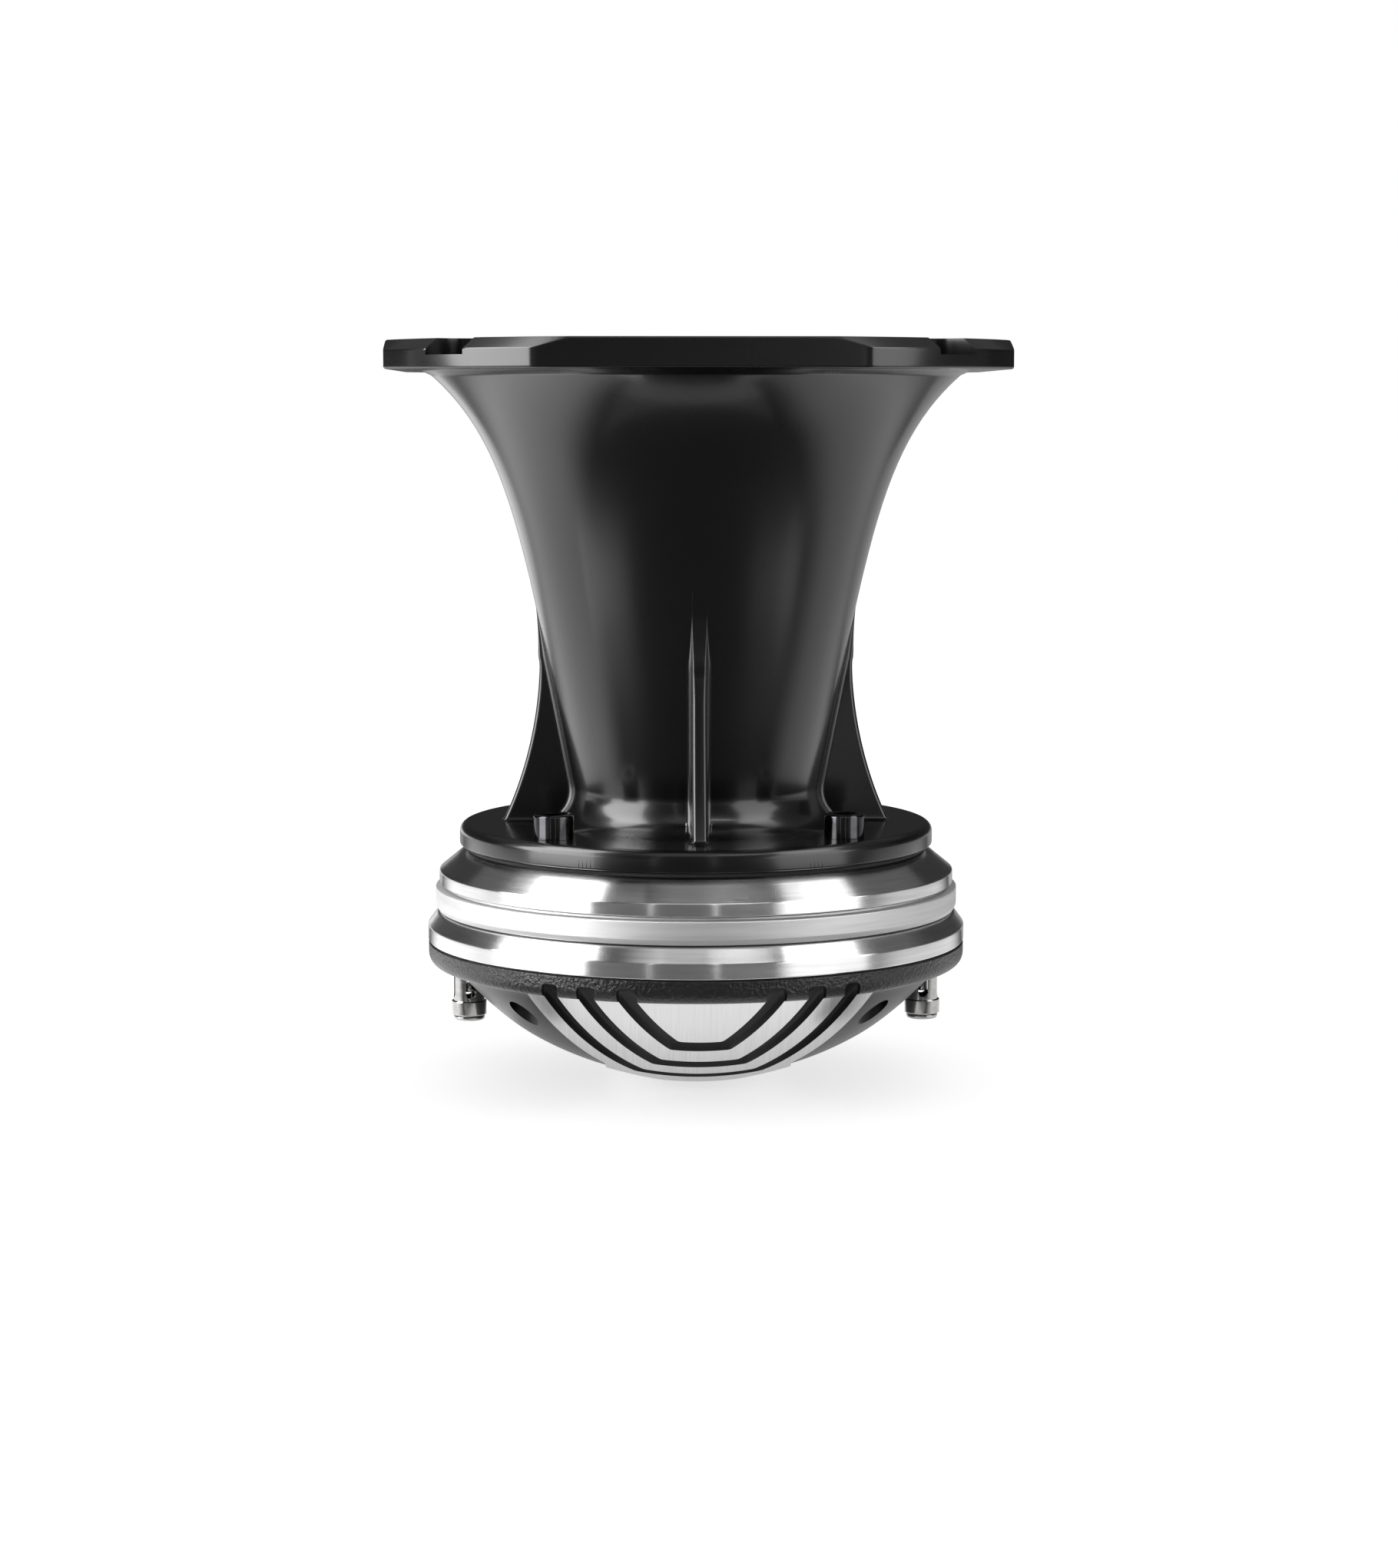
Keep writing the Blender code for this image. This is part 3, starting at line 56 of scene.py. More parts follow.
Z_MOUTH = 0.189168
Z_MOUTH_UNDERSIDE = 0.181968
Z_HORN = 0.061468
Z_BASE_TOP = 0.066968
THROAT_RADIUS = 0.0254
HORN_WALL = 0.0036
HORN_TAPER = 0.19
FLARE_LENGTH = 0.0163
FLARE_ROOT_RADIUS = 0.0685
MOUTH_RADIUS = 0.069
MOUTH_FLANGE_RADIUS = 0.0861
MOUTH_HALF_FLATS = 0.0766
MOUTH_CHAMFER_RUN = 0.0038
MOUTH_CHAMFER_DROP = 0.0026
CAST_EDGE = 0.0006
MOUTH_LIP = 0.0012
BASE_FLANGE_RADIUS = 0.0608
BASE_EDGE_ROUND = 0.0022
NECK_FILLET = 0.008
SCREW_CIRCLE = 0.079
SCREW_HOLE_RADIUS = 0.0033
POCKET_HALF_WIDTH = 0.0065
POCKET_DEPTH = 0.004
RIB_HALF = 0.0018
RIB_STAND = 0.0018
RIB_WAIST_HEIGHT = 0.043
RIB_FOOT_RADIUS = 0.0498
RIB_ROOT_FILLET = 0.0015
RIB_FOOT_FILLET = 0.0012
RIB_EDGE_ROUND = 0.0011


def horn_skin(height):
    """Outer radius of the tube at a height."""
    straight = THROAT_RADIUS + HORN_WALL + HORN_TAPER * (height - Z_HORN)
    end = THROAT_RADIUS + HORN_WALL + HORN_TAPER * (Z_MOUTH_UNDERSIDE - Z_HORN)
    return straight + (FLARE_ROOT_RADIUS - end) * np.exp((height - Z_MOUTH_UNDERSIDE) / FLARE_LENGTH)


def horn_bore(height):
    """Inner radius of the tube at a height."""
    straight = THROAT_RADIUS + HORN_TAPER * (height - Z_HORN)
    end = THROAT_RADIUS + HORN_TAPER * (Z_MOUTH - Z_HORN)
    return straight + (MOUTH_RADIUS - end) * np.exp((height - Z_MOUTH) / FLARE_LENGTH)


def arc(centre, radius, start, end, count):
    """Points on an arc between two angles in degrees, both ends included."""
    turns = np.radians(np.linspace(start, end, count + 1))
    return [(centre[0] + radius * math.cos(t), centre[1] + radius * math.sin(t)) for t in turns]


def eased(points, radius, steps=4, closed=True):
    """A section with its corners rounded; radius is one number, or one for each corner."""
    count = len(points)
    radii = [radius] * count if np.isscalar(radius) else radius
    made = []
    for index, here in enumerate(points):
        if (not closed and index in (0, count - 1)) or radii[index] <= 0:
            made.append(here)
            continue
        here = np.array(here)
        back = np.array(points[index - 1]) - here
        ahead = np.array(points[(index + 1) % count]) - here
        reach = min(radii[index], np.linalg.norm(back) * 0.45, np.linalg.norm(ahead) * 0.45)
        first = here + back / np.linalg.norm(back) * reach
        last = here + ahead / np.linalg.norm(ahead) * reach
        for share in np.linspace(0.0, 1.0, steps + 1):
            point = first * (1 - share) ** 2 + here * 2 * share * (1 - share) + last * share ** 2
            made.append(tuple(point))
    return made


def new_piece(name, points, faces, *materials):
    """A smooth-shaded mesh object at the origin, linked to the scene."""
    mesh = bpy.data.meshes.new(name)
    mesh.from_pydata([tuple(p) for p in points], [], [tuple(f) for f in faces])
    for material in materials:
        mesh.materials.append(material)
    mesh.shade_smooth()
    piece = bpy.data.objects.new(name, mesh)
    bpy.context.scene.collection.objects.link(piece)
    return piece


def grid_faces(rows, columns, close_rows=False, close_columns=True):
    """Quads of a grid whose points run column by column along each row."""
    made = []
    for row in range(rows if close_rows else rows - 1):
        below = (row + 1) % rows
        for column in range(columns if close_columns else columns - 1):
            beside = (column + 1) % columns
            made.append((row * columns + column, below * columns + column,
                         below * columns + beside, row * columns + beside))
    return made


def lathe(name, section, steps, *materials, closed=True, centre=(0.0, 0.0)):
    """A section of (radius, height) points, down its outer side, turned round an upright axis."""
    turns = np.linspace(0.0, 2 * math.pi, steps, endpoint=False)
    section = list(section)
    points = []
    for radius, height in section:
        radius = max(radius, 0.0)
        points += [(centre[0] + radius * math.cos(t), centre[1] + radius * math.sin(t), height)
                   for t in turns]
    piece = new_piece(name, points, grid_faces(len(section), steps, close_rows=closed), *materials)
    if not closed:
        weld(piece)
    return piece


def weld(piece, distance=0.0000005):
    """Merge points that lie on each other and drop what that leaves flat."""
    shape = bmesh.new()
    shape.from_mesh(piece.data)
    bmesh.ops.remove_doubles(shape, verts=shape.verts, dist=distance)
    bmesh.ops.dissolve_degenerate(shape, edges=shape.edges, dist=distance)
    shape.to_mesh(piece.data)
    shape.free()
    return piece


def settle(piece):
    """Turn an object with modifiers into a plain mesh."""
    graph = bpy.context.evaluated_depsgraph_get()
    mesh = bpy.data.meshes.new_from_object(piece.evaluated_get(graph), depsgraph=graph)
    piece.modifiers.clear()
    piece.data = mesh
    mesh.name = piece.name
    return piece


def even_shading(piece):
    """Let broad faces stay flat in the shading, with rounded edges to carry the turn."""
    piece.data.set_sharp_from_angle(angle=math.radians(50))
    piece.modifiers.new("weighted", "WEIGHTED_NORMAL").keep_sharp = True
    return settle(piece)


def cut_away(piece, cutter):
    """Subtract a closed cutter from a piece, and remove the cutter."""
    change = piece.modifiers.new("cut", "BOOLEAN")
    change.operation = "DIFFERENCE"
    change.solver = "EXACT"
    change.object = cutter
    settle(piece)
    bpy.data.objects.remove(cutter, do_unlink=True)
    return piece


def join_pieces(piece, *others):
    """Put the meshes of other pieces into the first, and remove those pieces."""
    shape = bmesh.new()
    shape.from_mesh(piece.data)
    for other in others:
        shape.from_mesh(other.data)
        bpy.data.objects.remove(other, do_unlink=True)
    shape.to_mesh(piece.data)
    shape.free()
    return piece


def prism(name, outline, low, high):
    """A closed upright prism over a plan outline that runs anticlockwise."""
    count = len(outline)
    points = [(x, y, low) for x, y in outline] + [(x, y, high) for x, y in outline]
    faces = [tuple(reversed(range(count))), tuple(range(count, 2 * count))]
    faces += [(i, (i + 1) % count, count + (i + 1) % count, count + i) for i in range(count)]
    return new_piece(name, points, faces)


def dress(piece, body, slot, *nodes):
    """Say which body a piece rides on and hide the solids it stands for; slot is not used."""
    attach(piece, body)
    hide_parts(*nodes)
    return piece


def new_material(name, colour, roughness, metallic):
    """A Principled material; returns it with its node tree and its shader."""
    material = bpy.data.materials.new(name)
    material.use_nodes = True
    tree = material.node_tree
    shader = tree.nodes["Principled BSDF"]
    shader.inputs["Base Color"].default_value = (*colour, 1.0)
    shader.inputs["Roughness"].default_value = roughness
    shader.inputs["Metallic"].default_value = metallic
    return material, tree, shader


def value_group(name, inputs, outputs):
    """An empty shader group with named number sockets, and its end nodes."""
    group = bpy.data.node_groups.new(name, "ShaderNodeTree")
    for label, value in inputs:
        socket = group.interface.new_socket(label, in_out="INPUT", socket_type="NodeSocketFloat")
        socket.default_value = value
    for label in outputs:
        group.interface.new_socket(label, in_out="OUTPUT", socket_type="NodeSocketFloat")
    return group, group.nodes.new("NodeGroupInput"), group.nodes.new("NodeGroupOutput")


def maths(tree, operation, first, second=None):
    """A Math node between two sockets or numbers; returns its output."""
    node = tree.nodes.new("ShaderNodeMath")
    node.operation = operation
    for socket, value in zip(node.inputs, (first, second)):
        if isinstance(value, (int, float)):
            socket.default_value = value
        elif value is not None:
            tree.links.new(value, socket)
    return node.outputs[0]


def grain_group():
    """Fine grain and broad blotches in space, each from 0 to 1."""
    tree, given, out = value_group("casting_grain", [("Grain size", 0.0005), ("Blotch size", 0.02)],
                                   ["Grain", "Blotch"])
    where = tree.nodes.new("ShaderNodeTexCoord")
    for label, source, detail in (("Grain", "Grain size", 3.0), ("Blotch", "Blotch size", 2.0)):
        noise = tree.nodes.new("ShaderNodeTexNoise")
        noise.inputs["Detail"].default_value = detail
        tree.links.new(where.outputs["Object"], noise.inputs["Vector"])
        tree.links.new(maths(tree, "DIVIDE", 1.0, given.outputs[source]), noise.inputs["Scale"])
        tree.links.new(noise.outputs["Fac"], out.inputs[label])
    return tree


CASTING_GRAIN = grain_group()


def add_group(tree, group, **sizes):
    """Place a shader group in a material, with its own values."""
    node = tree.nodes.new("ShaderNodeGroup")
    node.node_tree = group
    for label, value in sizes.items():
        node.inputs[label.replace("_", " ")].default_value = value
    return node


def spread(tree, source, low, high, target):
    """Map a 0 to 1 value onto a range and feed it to a socket."""
    node = tree.nodes.new("ShaderNodeMapRange")
    node.inputs["From Min"].default_value = 0.25
    node.inputs["From Max"].default_value = 0.75
    node.inputs["To Min"].default_value = low
    node.inputs["To Max"].default_value = high
    tree.links.new(source, node.inputs["Value"])
    tree.links.new(node.outputs["Result"], target)
    return node


def tint(tree, source, dark, light, shader):
    """Let a 0 to 1 value run the base colour between two colours."""
    ramp = tree.nodes.new("ShaderNodeValToRGB")
    ramp.color_ramp.elements[0].position = 0.3
    ramp.color_ramp.elements[0].color = (*dark, 1.0)
    ramp.color_ramp.elements[1].position = 0.7
    ramp.color_ramp.elements[1].color = (*light, 1.0)
    tree.links.new(source, ramp.inputs["Fac"])
    tree.links.new(ramp.outputs["Color"], shader.inputs["Base Color"])


def roughen(tree, source, distance, strength, shader):
    """A bump from a height."""
    bump = tree.nodes.new("ShaderNodeBump")
    bump.inputs["Distance"].default_value = distance
    bump.inputs["Strength"].default_value = strength
    tree.links.new(source, bump.inputs["Height"])
    tree.links.new(bump.outputs["Normal"], shader.inputs["Normal"])


def grained(name, dark, light, roughness, metallic, grain, blotch, bump_depth, bump_strength):
    """A finish with a fine grain in its surface and broad changes of gloss."""
    middle = tuple((a + b) / 2 for a, b in zip(dark, light))
    material, tree, shader = new_material(name, middle, roughness[0], metallic)
    texture = add_group(tree, CASTING_GRAIN, Grain_size=grain, Blotch_size=blotch)
    tint(tree, texture.outputs["Blotch"], dark, light, shader)
    spread(tree, texture.outputs["Blotch"], *roughness, shader.inputs["Roughness"])
    roughen(tree, texture.outputs["Grain"], bump_depth, bump_strength, shader)
    return material, shader


HORN_COAT, horn_shader = grained("black_powder_coat", (0.0025, 0.0025, 0.0025), (0.0045, 0.0045, 0.0045),
                                 (0.24, 0.29), 0.0, 0.0009, 0.03, 0.00002, 0.1)
horn_shader.inputs["Specular IOR Level"].default_value = 0.25
horn_shader.inputs["Coat Weight"].default_value = 0.55
horn_shader.inputs["Coat Roughness"].default_value = 0.15


def neck_fillet():
    """Where the tube runs into the base flange: the fillet's top, its centre and the tube's lean."""
    lean = math.atan(HORN_TAPER)
    centre_height = Z_BASE_TOP + NECK_FILLET
    top = centre_height + NECK_FILLET * math.sin(lean)
    return top, (horn_skin(top) + NECK_FILLET * math.cos(lean), centre_height), math.degrees(lean)


def flange_angles():
    """Angles round the mouth, closer together where a flat meets the round edge."""
    corner = math.degrees(math.acos(MOUTH_HALF_FLATS / MOUTH_FLANGE_RADIUS))
    angles = set(np.round(np.arange(0.0, 360.0, 1.0), 4))
    for quarter in range(4):
        for side in (-1, 1):
            near = 90.0 * quarter + side * corner
            angles |= set(np.round(np.mod(near + np.arange(-2.0, 2.01, 0.25), 360.0), 4))
    return np.radians(np.array(sorted(angles)))


def make_horn_casting():
    turns = flange_angles()
    flat = MOUTH_HALF_FLATS / np.maximum(np.abs(np.cos(turns)), np.abs(np.sin(turns)))
    soft = 0.00025
    both = np.exp(-flat / soft + 200) + np.exp(-MOUTH_FLANGE_RADIUS / soft + 200)
    edge = -soft * np.log(both) + 200 * soft
    slope = math.hypot(MOUTH_CHAMFER_RUN, MOUTH_CHAMFER_DROP)
    lean = np.array((MOUTH_CHAMFER_DROP, MOUTH_CHAMFER_RUN)) / slope
    lean_angle = math.degrees(math.atan2(lean[1], lean[0]))
    top_radius = MOUTH_FLANGE_RADIUS - MOUTH_CHAMFER_RUN
    inset = edge - CAST_EDGE
    first = np.minimum(top_radius - CAST_EDGE * (1 - lean[1]) / lean[0], inset)
    under_top = Z_MOUTH - CAST_EDGE
    second_height = np.minimum(Z_MOUTH + (-CAST_EDGE - (inset - top_radius) * lean[0]) / lean[1], under_top)
    rows = []

    def row(radius, height):
        ones = np.ones(len(turns))
        rows.append((radius * ones, height * ones))

    row(MOUTH_RADIUS + 2 * MOUTH_LIP, Z_MOUTH)
    for centre_radius, centre_height, start, end, count in (
            (first, under_top, 90.0, lean_angle, 3), (inset, second_height, lean_angle, 0.0, 4),
            (inset, Z_MOUTH_UNDERSIDE + CAST_EDGE, 0.0, -90.0, 5)):
        for turn in np.radians(np.linspace(start, end, count)):
            row(centre_radius + CAST_EDGE * math.cos(turn), centre_height + CAST_EDGE * math.sin(turn))
    for outward, drop in ((0.0016, 0.0), (0.0008, 0.00012), (0.0002, 0.0005)):
        row(FLARE_ROOT_RADIUS + outward, Z_MOUTH_UNDERSIDE - drop)
    neck, neck_centre, neck_lean = neck_fillet()
    heights = Z_MOUTH_UNDERSIDE - 0.0012 + (neck - Z_MOUTH_UNDERSIDE + 0.0012) * np.linspace(0, 1, 30) ** 1.6
    for height in heights:
        row(horn_skin(height), height)
    for radius, height in arc(neck_centre, NECK_FILLET, 180.0 - neck_lean, 270.0, 14)[1:]:
        row(radius, height)
    edge_radius = BASE_FLANGE_RADIUS - BASE_EDGE_ROUND
    for radius, height in arc((edge_radius, Z_BASE_TOP - BASE_EDGE_ROUND), BASE_EDGE_ROUND, 90.0, 0.0, 6):
        row(radius, height)
    low_edge = (BASE_FLANGE_RADIUS - CAST_EDGE, Z_HORN + CAST_EDGE)
    for radius, height in arc(low_edge, CAST_EDGE, 0.0, -90.0, 3):
        row(radius, height)
    row(THROAT_RADIUS, Z_HORN)
    for height in Z_HORN + (Z_MOUTH - MOUTH_LIP - Z_HORN) * np.linspace(0, 1, 34)[1:] ** 0.6:
        row(horn_bore(height), height)
    row(MOUTH_RADIUS + 0.15 * MOUTH_LIP, Z_MOUTH - 0.25 * MOUTH_LIP)
    row(MOUTH_RADIUS + 0.7 * MOUTH_LIP, Z_MOUTH - 0.03 * MOUTH_LIP)
    points = [(r * math.cos(t), r * math.sin(t), z)
              for radii, levels in rows for r, z, t in zip(radii, levels, turns)]
    return new_piece("horn_casting", points, grid_faces(len(rows), len(turns), close_rows=True), HORN_COAT)


def pocket_cutter(angle):
    """The screw pocket that opens through the flange's edge, with its through hole."""
    half = POCKET_HALF_WIDTH
    outline = arc((SCREW_CIRCLE, 0.0), half, 90.0, 270.0, 20)
    outline += [(MOUTH_FLANGE_RADIUS + half, -half), (MOUTH_FLANGE_RADIUS + half, half)]
    pocket = prism("pocket", outline, Z_MOUTH - POCKET_DEPTH, Z_MOUTH + half)
    hole = prism("hole", arc((SCREW_CIRCLE, 0.0), SCREW_HOLE_RADIUS, 0.0, 345.0, 23),
                 Z_MOUTH_UNDERSIDE - half, Z_MOUTH - POCKET_DEPTH / 2)
    for cutter in (pocket, hole):
        cutter.data.transform(Matrix.Rotation(math.radians(angle), 4, "Z"))
    return pocket, hole


def soften_pockets(piece):
    """Round the pockets' edges a little, as a coat does."""
    shape = bmesh.new()
    shape.from_mesh(piece.data)
    weight = shape.edges.layers.float.new("bevel_weight_edge")
    for edge in shape.edges:
        middle = (edge.verts[0].co + edge.verts[1].co) / 2
        turn = math.degrees(math.atan2(middle.y, middle.x)) % 90.0
        off_diagonal = abs(math.hypot(middle.x, middle.y) * math.sin(math.radians(turn - 45.0)))
        near = off_diagonal < POCKET_HALF_WIDTH + 0.0003 and middle.z > Z_MOUTH_UNDERSIDE - 0.0002
        if near and math.hypot(middle.x, middle.y) > MOUTH_RADIUS + 0.002 and len(edge.link_faces) == 2:
            if edge.calc_face_angle() > math.radians(38):
                edge[weight] = 1.0
    shape.to_mesh(piece.data)
    shape.free()
    bevel = piece.modifiers.new("soft", "BEVEL")
    bevel.limit_method = "WEIGHT"
    bevel.width = 0.00028
    bevel.segments = 2
    return settle(piece)


def ring_of_copies():
    """A tree that sets copies of a mesh round the Z axis, realises them and gives their material."""
    tree = bpy.data.node_groups.new("ring_of_copies", "GeometryNodeTree")
    tree.interface.new_socket("Geometry", in_out="INPUT", socket_type="NodeSocketGeometry")
    for label, kind in (("Count", "NodeSocketInt"), ("First angle", "NodeSocketFloat"),
                        ("Pair lean", "NodeSocketFloat"), ("Material", "NodeSocketMaterial")):
        tree.interface.new_socket(label, in_out="INPUT", socket_type=kind)
    tree.interface.new_socket("Geometry", in_out="OUTPUT", socket_type="NodeSocketGeometry")
    given = tree.nodes.new("NodeGroupInput")
    out = tree.nodes.new("NodeGroupOutput")
    link = tree.links.new
    spots = tree.nodes.new("GeometryNodePoints")
    link(given.outputs["Count"], spots.inputs["Count"])
    index = tree.nodes.new("GeometryNodeInputIndex").outputs[0]
    step = maths(tree, "DIVIDE", 360.0, given.outputs["Count"])
    even = maths(tree, "ADD", maths(tree, "MULTIPLY", step, index), given.outputs["First angle"])
    sign = maths(tree, "SUBTRACT", 1.0, maths(tree, "MULTIPLY", maths(tree, "MODULO", index, 2.0), 2.0))
    angle = maths(tree, "ADD", even, maths(tree, "MULTIPLY", given.outputs["Pair lean"], sign))
    turn = tree.nodes.new("ShaderNodeCombineXYZ")
    link(maths(tree, "RADIANS", angle), turn.inputs["Z"])
    copies = tree.nodes.new("GeometryNodeInstanceOnPoints")
    link(spots.outputs[0], copies.inputs["Points"])
    link(given.outputs["Geometry"], copies.inputs["Instance"])
    link(turn.outputs[0], copies.inputs["Rotation"])
    real = tree.nodes.new("GeometryNodeRealizeInstances")
    link(copies.outputs[0], real.inputs[0])
    coat = tree.nodes.new("GeometryNodeSetMaterial")
    link(real.outputs[0], coat.inputs["Geometry"])
    link(given.outputs["Material"], coat.inputs["Material"])
    link(coat.outputs[0], out.inputs[0])
    return tree


RING_OF_COPIES = ring_of_copies()


def set_inputs(modifier, **values):
    """Set a node modifier's inputs by their identifiers."""
    for item in modifier.node_group.interface.items_tree:
        label = item.name.replace(" ", "_")
        if item.in_out == "INPUT" and label in values:
            modifier[item.identifier] = values[label]


def copied_round(piece, count, first_angle, material, pair_lean=0.0):
    """Replace a piece by copies of itself round the Z axis."""
    change = piece.modifiers.new("copies", "NODES")
    change.node_group = RING_OF_COPIES
    set_inputs(change, Count=count, First_angle=first_angle, Pair_lean=pair_lean, Material=material)
    return settle(piece)


def make_rib():
    """One rib, along +X, with fillets to the tube and to the base flange."""
    waist_height = Z_BASE_TOP + RIB_WAIST_HEIGHT
    waist = horn_skin(waist_height) + RIB_STAND
    edge_radius = ((RIB_FOOT_RADIUS - waist) ** 2 + RIB_WAIST_HEIGHT ** 2) / (2 * (RIB_FOOT_RADIUS - waist))
    top = waist_height + 0.0185
    foot = Z_BASE_TOP + RIB_FOOT_FILLET * np.linspace(0, 1, 7) ** 1.5
    heights = np.concatenate(([Z_BASE_TOP - 0.0006], foot, np.linspace(foot[-1], top, 48)[1:]))
    neck, neck_centre, _ = neck_fillet()
    points = []
    for height in heights:
        above = max(height, Z_BASE_TOP)
        wall = horn_skin(above)
        if above < neck:
            wall = neck_centre[0] - math.sqrt(max(NECK_FILLET ** 2 - (neck_centre[1] - above) ** 2, 0.0))
        over = max(RIB_FOOT_FILLET - (above - Z_BASE_TOP), 0.0)
        grow = RIB_FOOT_FILLET - math.sqrt(max(RIB_FOOT_FILLET ** 2 - over ** 2, 0.0))
        outer = waist + edge_radius - math.sqrt(edge_radius ** 2 - (above - waist_height) ** 2) + grow
        stand = max(outer - wall, 0.00002)
        half = RIB_HALF + grow
        fillet = min(RIB_ROOT_FILLET, 0.8 * stand)
        edge = min(RIB_EDGE_ROUND, 0.18 * stand + 0.0004 * min(stand / 0.0018, 1.0))
        root = math.sqrt(wall ** 2 - (half + fillet) ** 2)
        side = arc((root + fillet, half + fillet), fillet, 180.0, 270.0, 6)
        side += arc((root + max(stand, fillet + edge) - edge, half - edge), edge, 90.0, 0.0, 6)
        section = [(root - 0.0008, half + fillet + 0.0004)] + side
        section += [(x, -y) for x, y in reversed(section)]
        points += [(x, y, height) for x, y in section]
    count = len(section)
    faces = grid_faces(len(heights), count)
    faces = [tuple(reversed(face)) for face in faces]
    faces += [tuple(range(count)), tuple(reversed(range(len(points) - count, len(points))))]
    rib = new_piece("ribs", points, faces, HORN_COAT)
    return rib


horn = make_horn_casting()
for pocket_angle in (45, 135, 225, 315):
    for one_cutter in pocket_cutter(pocket_angle):
        cut_away(horn, one_cutter)
soften_pockets(horn)
even_shading(horn)
ribs = even_shading(copied_round(make_rib(), 4, 0.0, HORN_COAT))
dress(horn, BODY, "horn_paint", "horn_body")
dress(ribs, BODY, "horn_paint", "horn_body")


# Throat gasket
# A die-cut ring of black fibre between the horn's base flange and the driver.

Z_GASKET = 0.060268
Z_GASKET_TOP = 0.061168
GASKET_RADIUS = 0.059
FINE_STEPS = 256

GASKET_FIBRE, _ = grained("gasket_fibre", (0.012, 0.012, 0.012), (0.022, 0.022, 0.022), (0.75, 0.95), 0.0,
                          0.0004, 0.004, 0.0002, 0.8)
gasket = lathe("throat_seal", eased([(GASKET_RADIUS, Z_GASKET_TOP), (GASKET_RADIUS, Z_GASKET),
                                     (THROAT_RADIUS, Z_GASKET), (THROAT_RADIUS, Z_GASKET_TOP)], 0.0002, 2),
               FINE_STEPS, GASKET_FIBRE)
dress(even_shading(gasket), BODY, "gasket_fibre", "throat_gasket")


# Horn bolts
# Four M6 socket-head screws of blackened steel, through the base flange into the driver.

BOLT_CIRCLE = 0.0508
BOLT_HEAD_RADIUS = 0.005
BOLT_HEAD_HEIGHT = 0.006
BOLT_CHAMFER = 0.0005
BOLT_SOCKET_RADIUS = 0.0029
BOLT_SOCKET_DEPTH = 0.003
BOLT_SHANK_RADIUS = 0.003
BOLT_TIP = 0.0062

BLACK_STEEL, _ = grained("blackened_steel", (0.035, 0.035, 0.037), (0.055, 0.055, 0.058), (0.09, 0.15), 1.0,
                         0.0003, 0.003, 0.00001, 0.15)


def socket_screw(name, place, head_radius, head, chamfer, shank_radius, tip, socket_radius, socket_depth):
    """A screw at a plan point: head and tip are heights, and the key socket is in the head's end.

    head gives the seat and the head's free end, and the screw points from that end to its tip.
    """
    seat, end = head
    way = math.copysign(1.0, end - seat)
    floor = end - way * socket_depth
    key = socket_radius * 0.95
    section = [(0.0, floor - way * 0.0006), (key, floor), (key, end - way * chamfer * 0.4),
               (socket_radius * 1.08, end)]
    section += eased([(head_radius - chamfer, end), (head_radius, end - way * chamfer), (head_radius, seat)],
                     0.00025, 3, closed=False)
    section += [(shank_radius, seat), (shank_radius, tip + way * 0.0005), (shank_radius - 0.0005, tip),
                (0.0, tip)]
    if way < 0:
        section.reverse()
    screw = lathe(name, section, 48, closed=False)
    for vertex in screw.data.vertices:
        radius = math.hypot(vertex.co.x, vertex.co.y)
        if abs(radius - key) < 0.00002 and abs(vertex.co.z - end) <= socket_depth + 0.0001:
            turn = math.atan2(vertex.co.y, vertex.co.x) % (math.pi / 3) - math.pi / 6
            flat = key * math.cos(math.pi / 6) * 1.05 / math.cos(turn)
            vertex.co.x *= flat / radius
            vertex.co.y *= flat / radius
    screw.data.transform(Matrix.Translation((place, 0.0, 0.0)))
    return screw


bolt_seat = Z_BASE_TOP + 0.00005
bolts = socket_screw("horn_bolts", BOLT_CIRCLE, BOLT_HEAD_RADIUS, (bolt_seat, bolt_seat + BOLT_HEAD_HEIGHT),
                     BOLT_CHAMFER, BOLT_SHANK_RADIUS, 0.059968 - BOLT_TIP, BOLT_SOCKET_RADIUS,
                     BOLT_SOCKET_DEPTH)
copied_round(bolts, 4, 45.0, BLACK_STEEL)
dress(even_shading(bolts), BODY, "black_steel", "horn_bolt_1", "horn_bolt_2", "horn_bolt_3", "horn_bolt_4")


# Driver rings
# Front plate, spacer ring and rear ring are turned on a lathe and left bare, so fine lines run
# round them. They are clamped face to face round the magnet.

Z_FRONT_TOP = 0.059968
Z_FRONT = 0.051668
FRONT_TOP_RADIUS = 0.0598
FRONT_BAND_RADIUS = 0.0661
FRONT_CONE = 0.0051
POLE_RADIUS = 0.0353
FIT = 0.0003
Z_MAGNET_TOP = 0.051368
Z_MAGNET = 0.044868
SPACER_RADIUS = 0.0671
SPACER_STEP = 0.0026
SPACER_STEP_HEIGHT = 0.0007
SPACER_CHAMFER = 0.0007
SPACER_CHAMFER_HEIGHT = 0.0013
MAGNET_RADIUS = 0.062
Z_REAR_TOP = 0.044568
Z_REAR = 0.036968
REAR_TOP_RADIUS = 0.0664
REAR_BAND_RADIUS = 0.0691
REAR_BAND = 0.0039
GAP_RADIUS = 0.0382


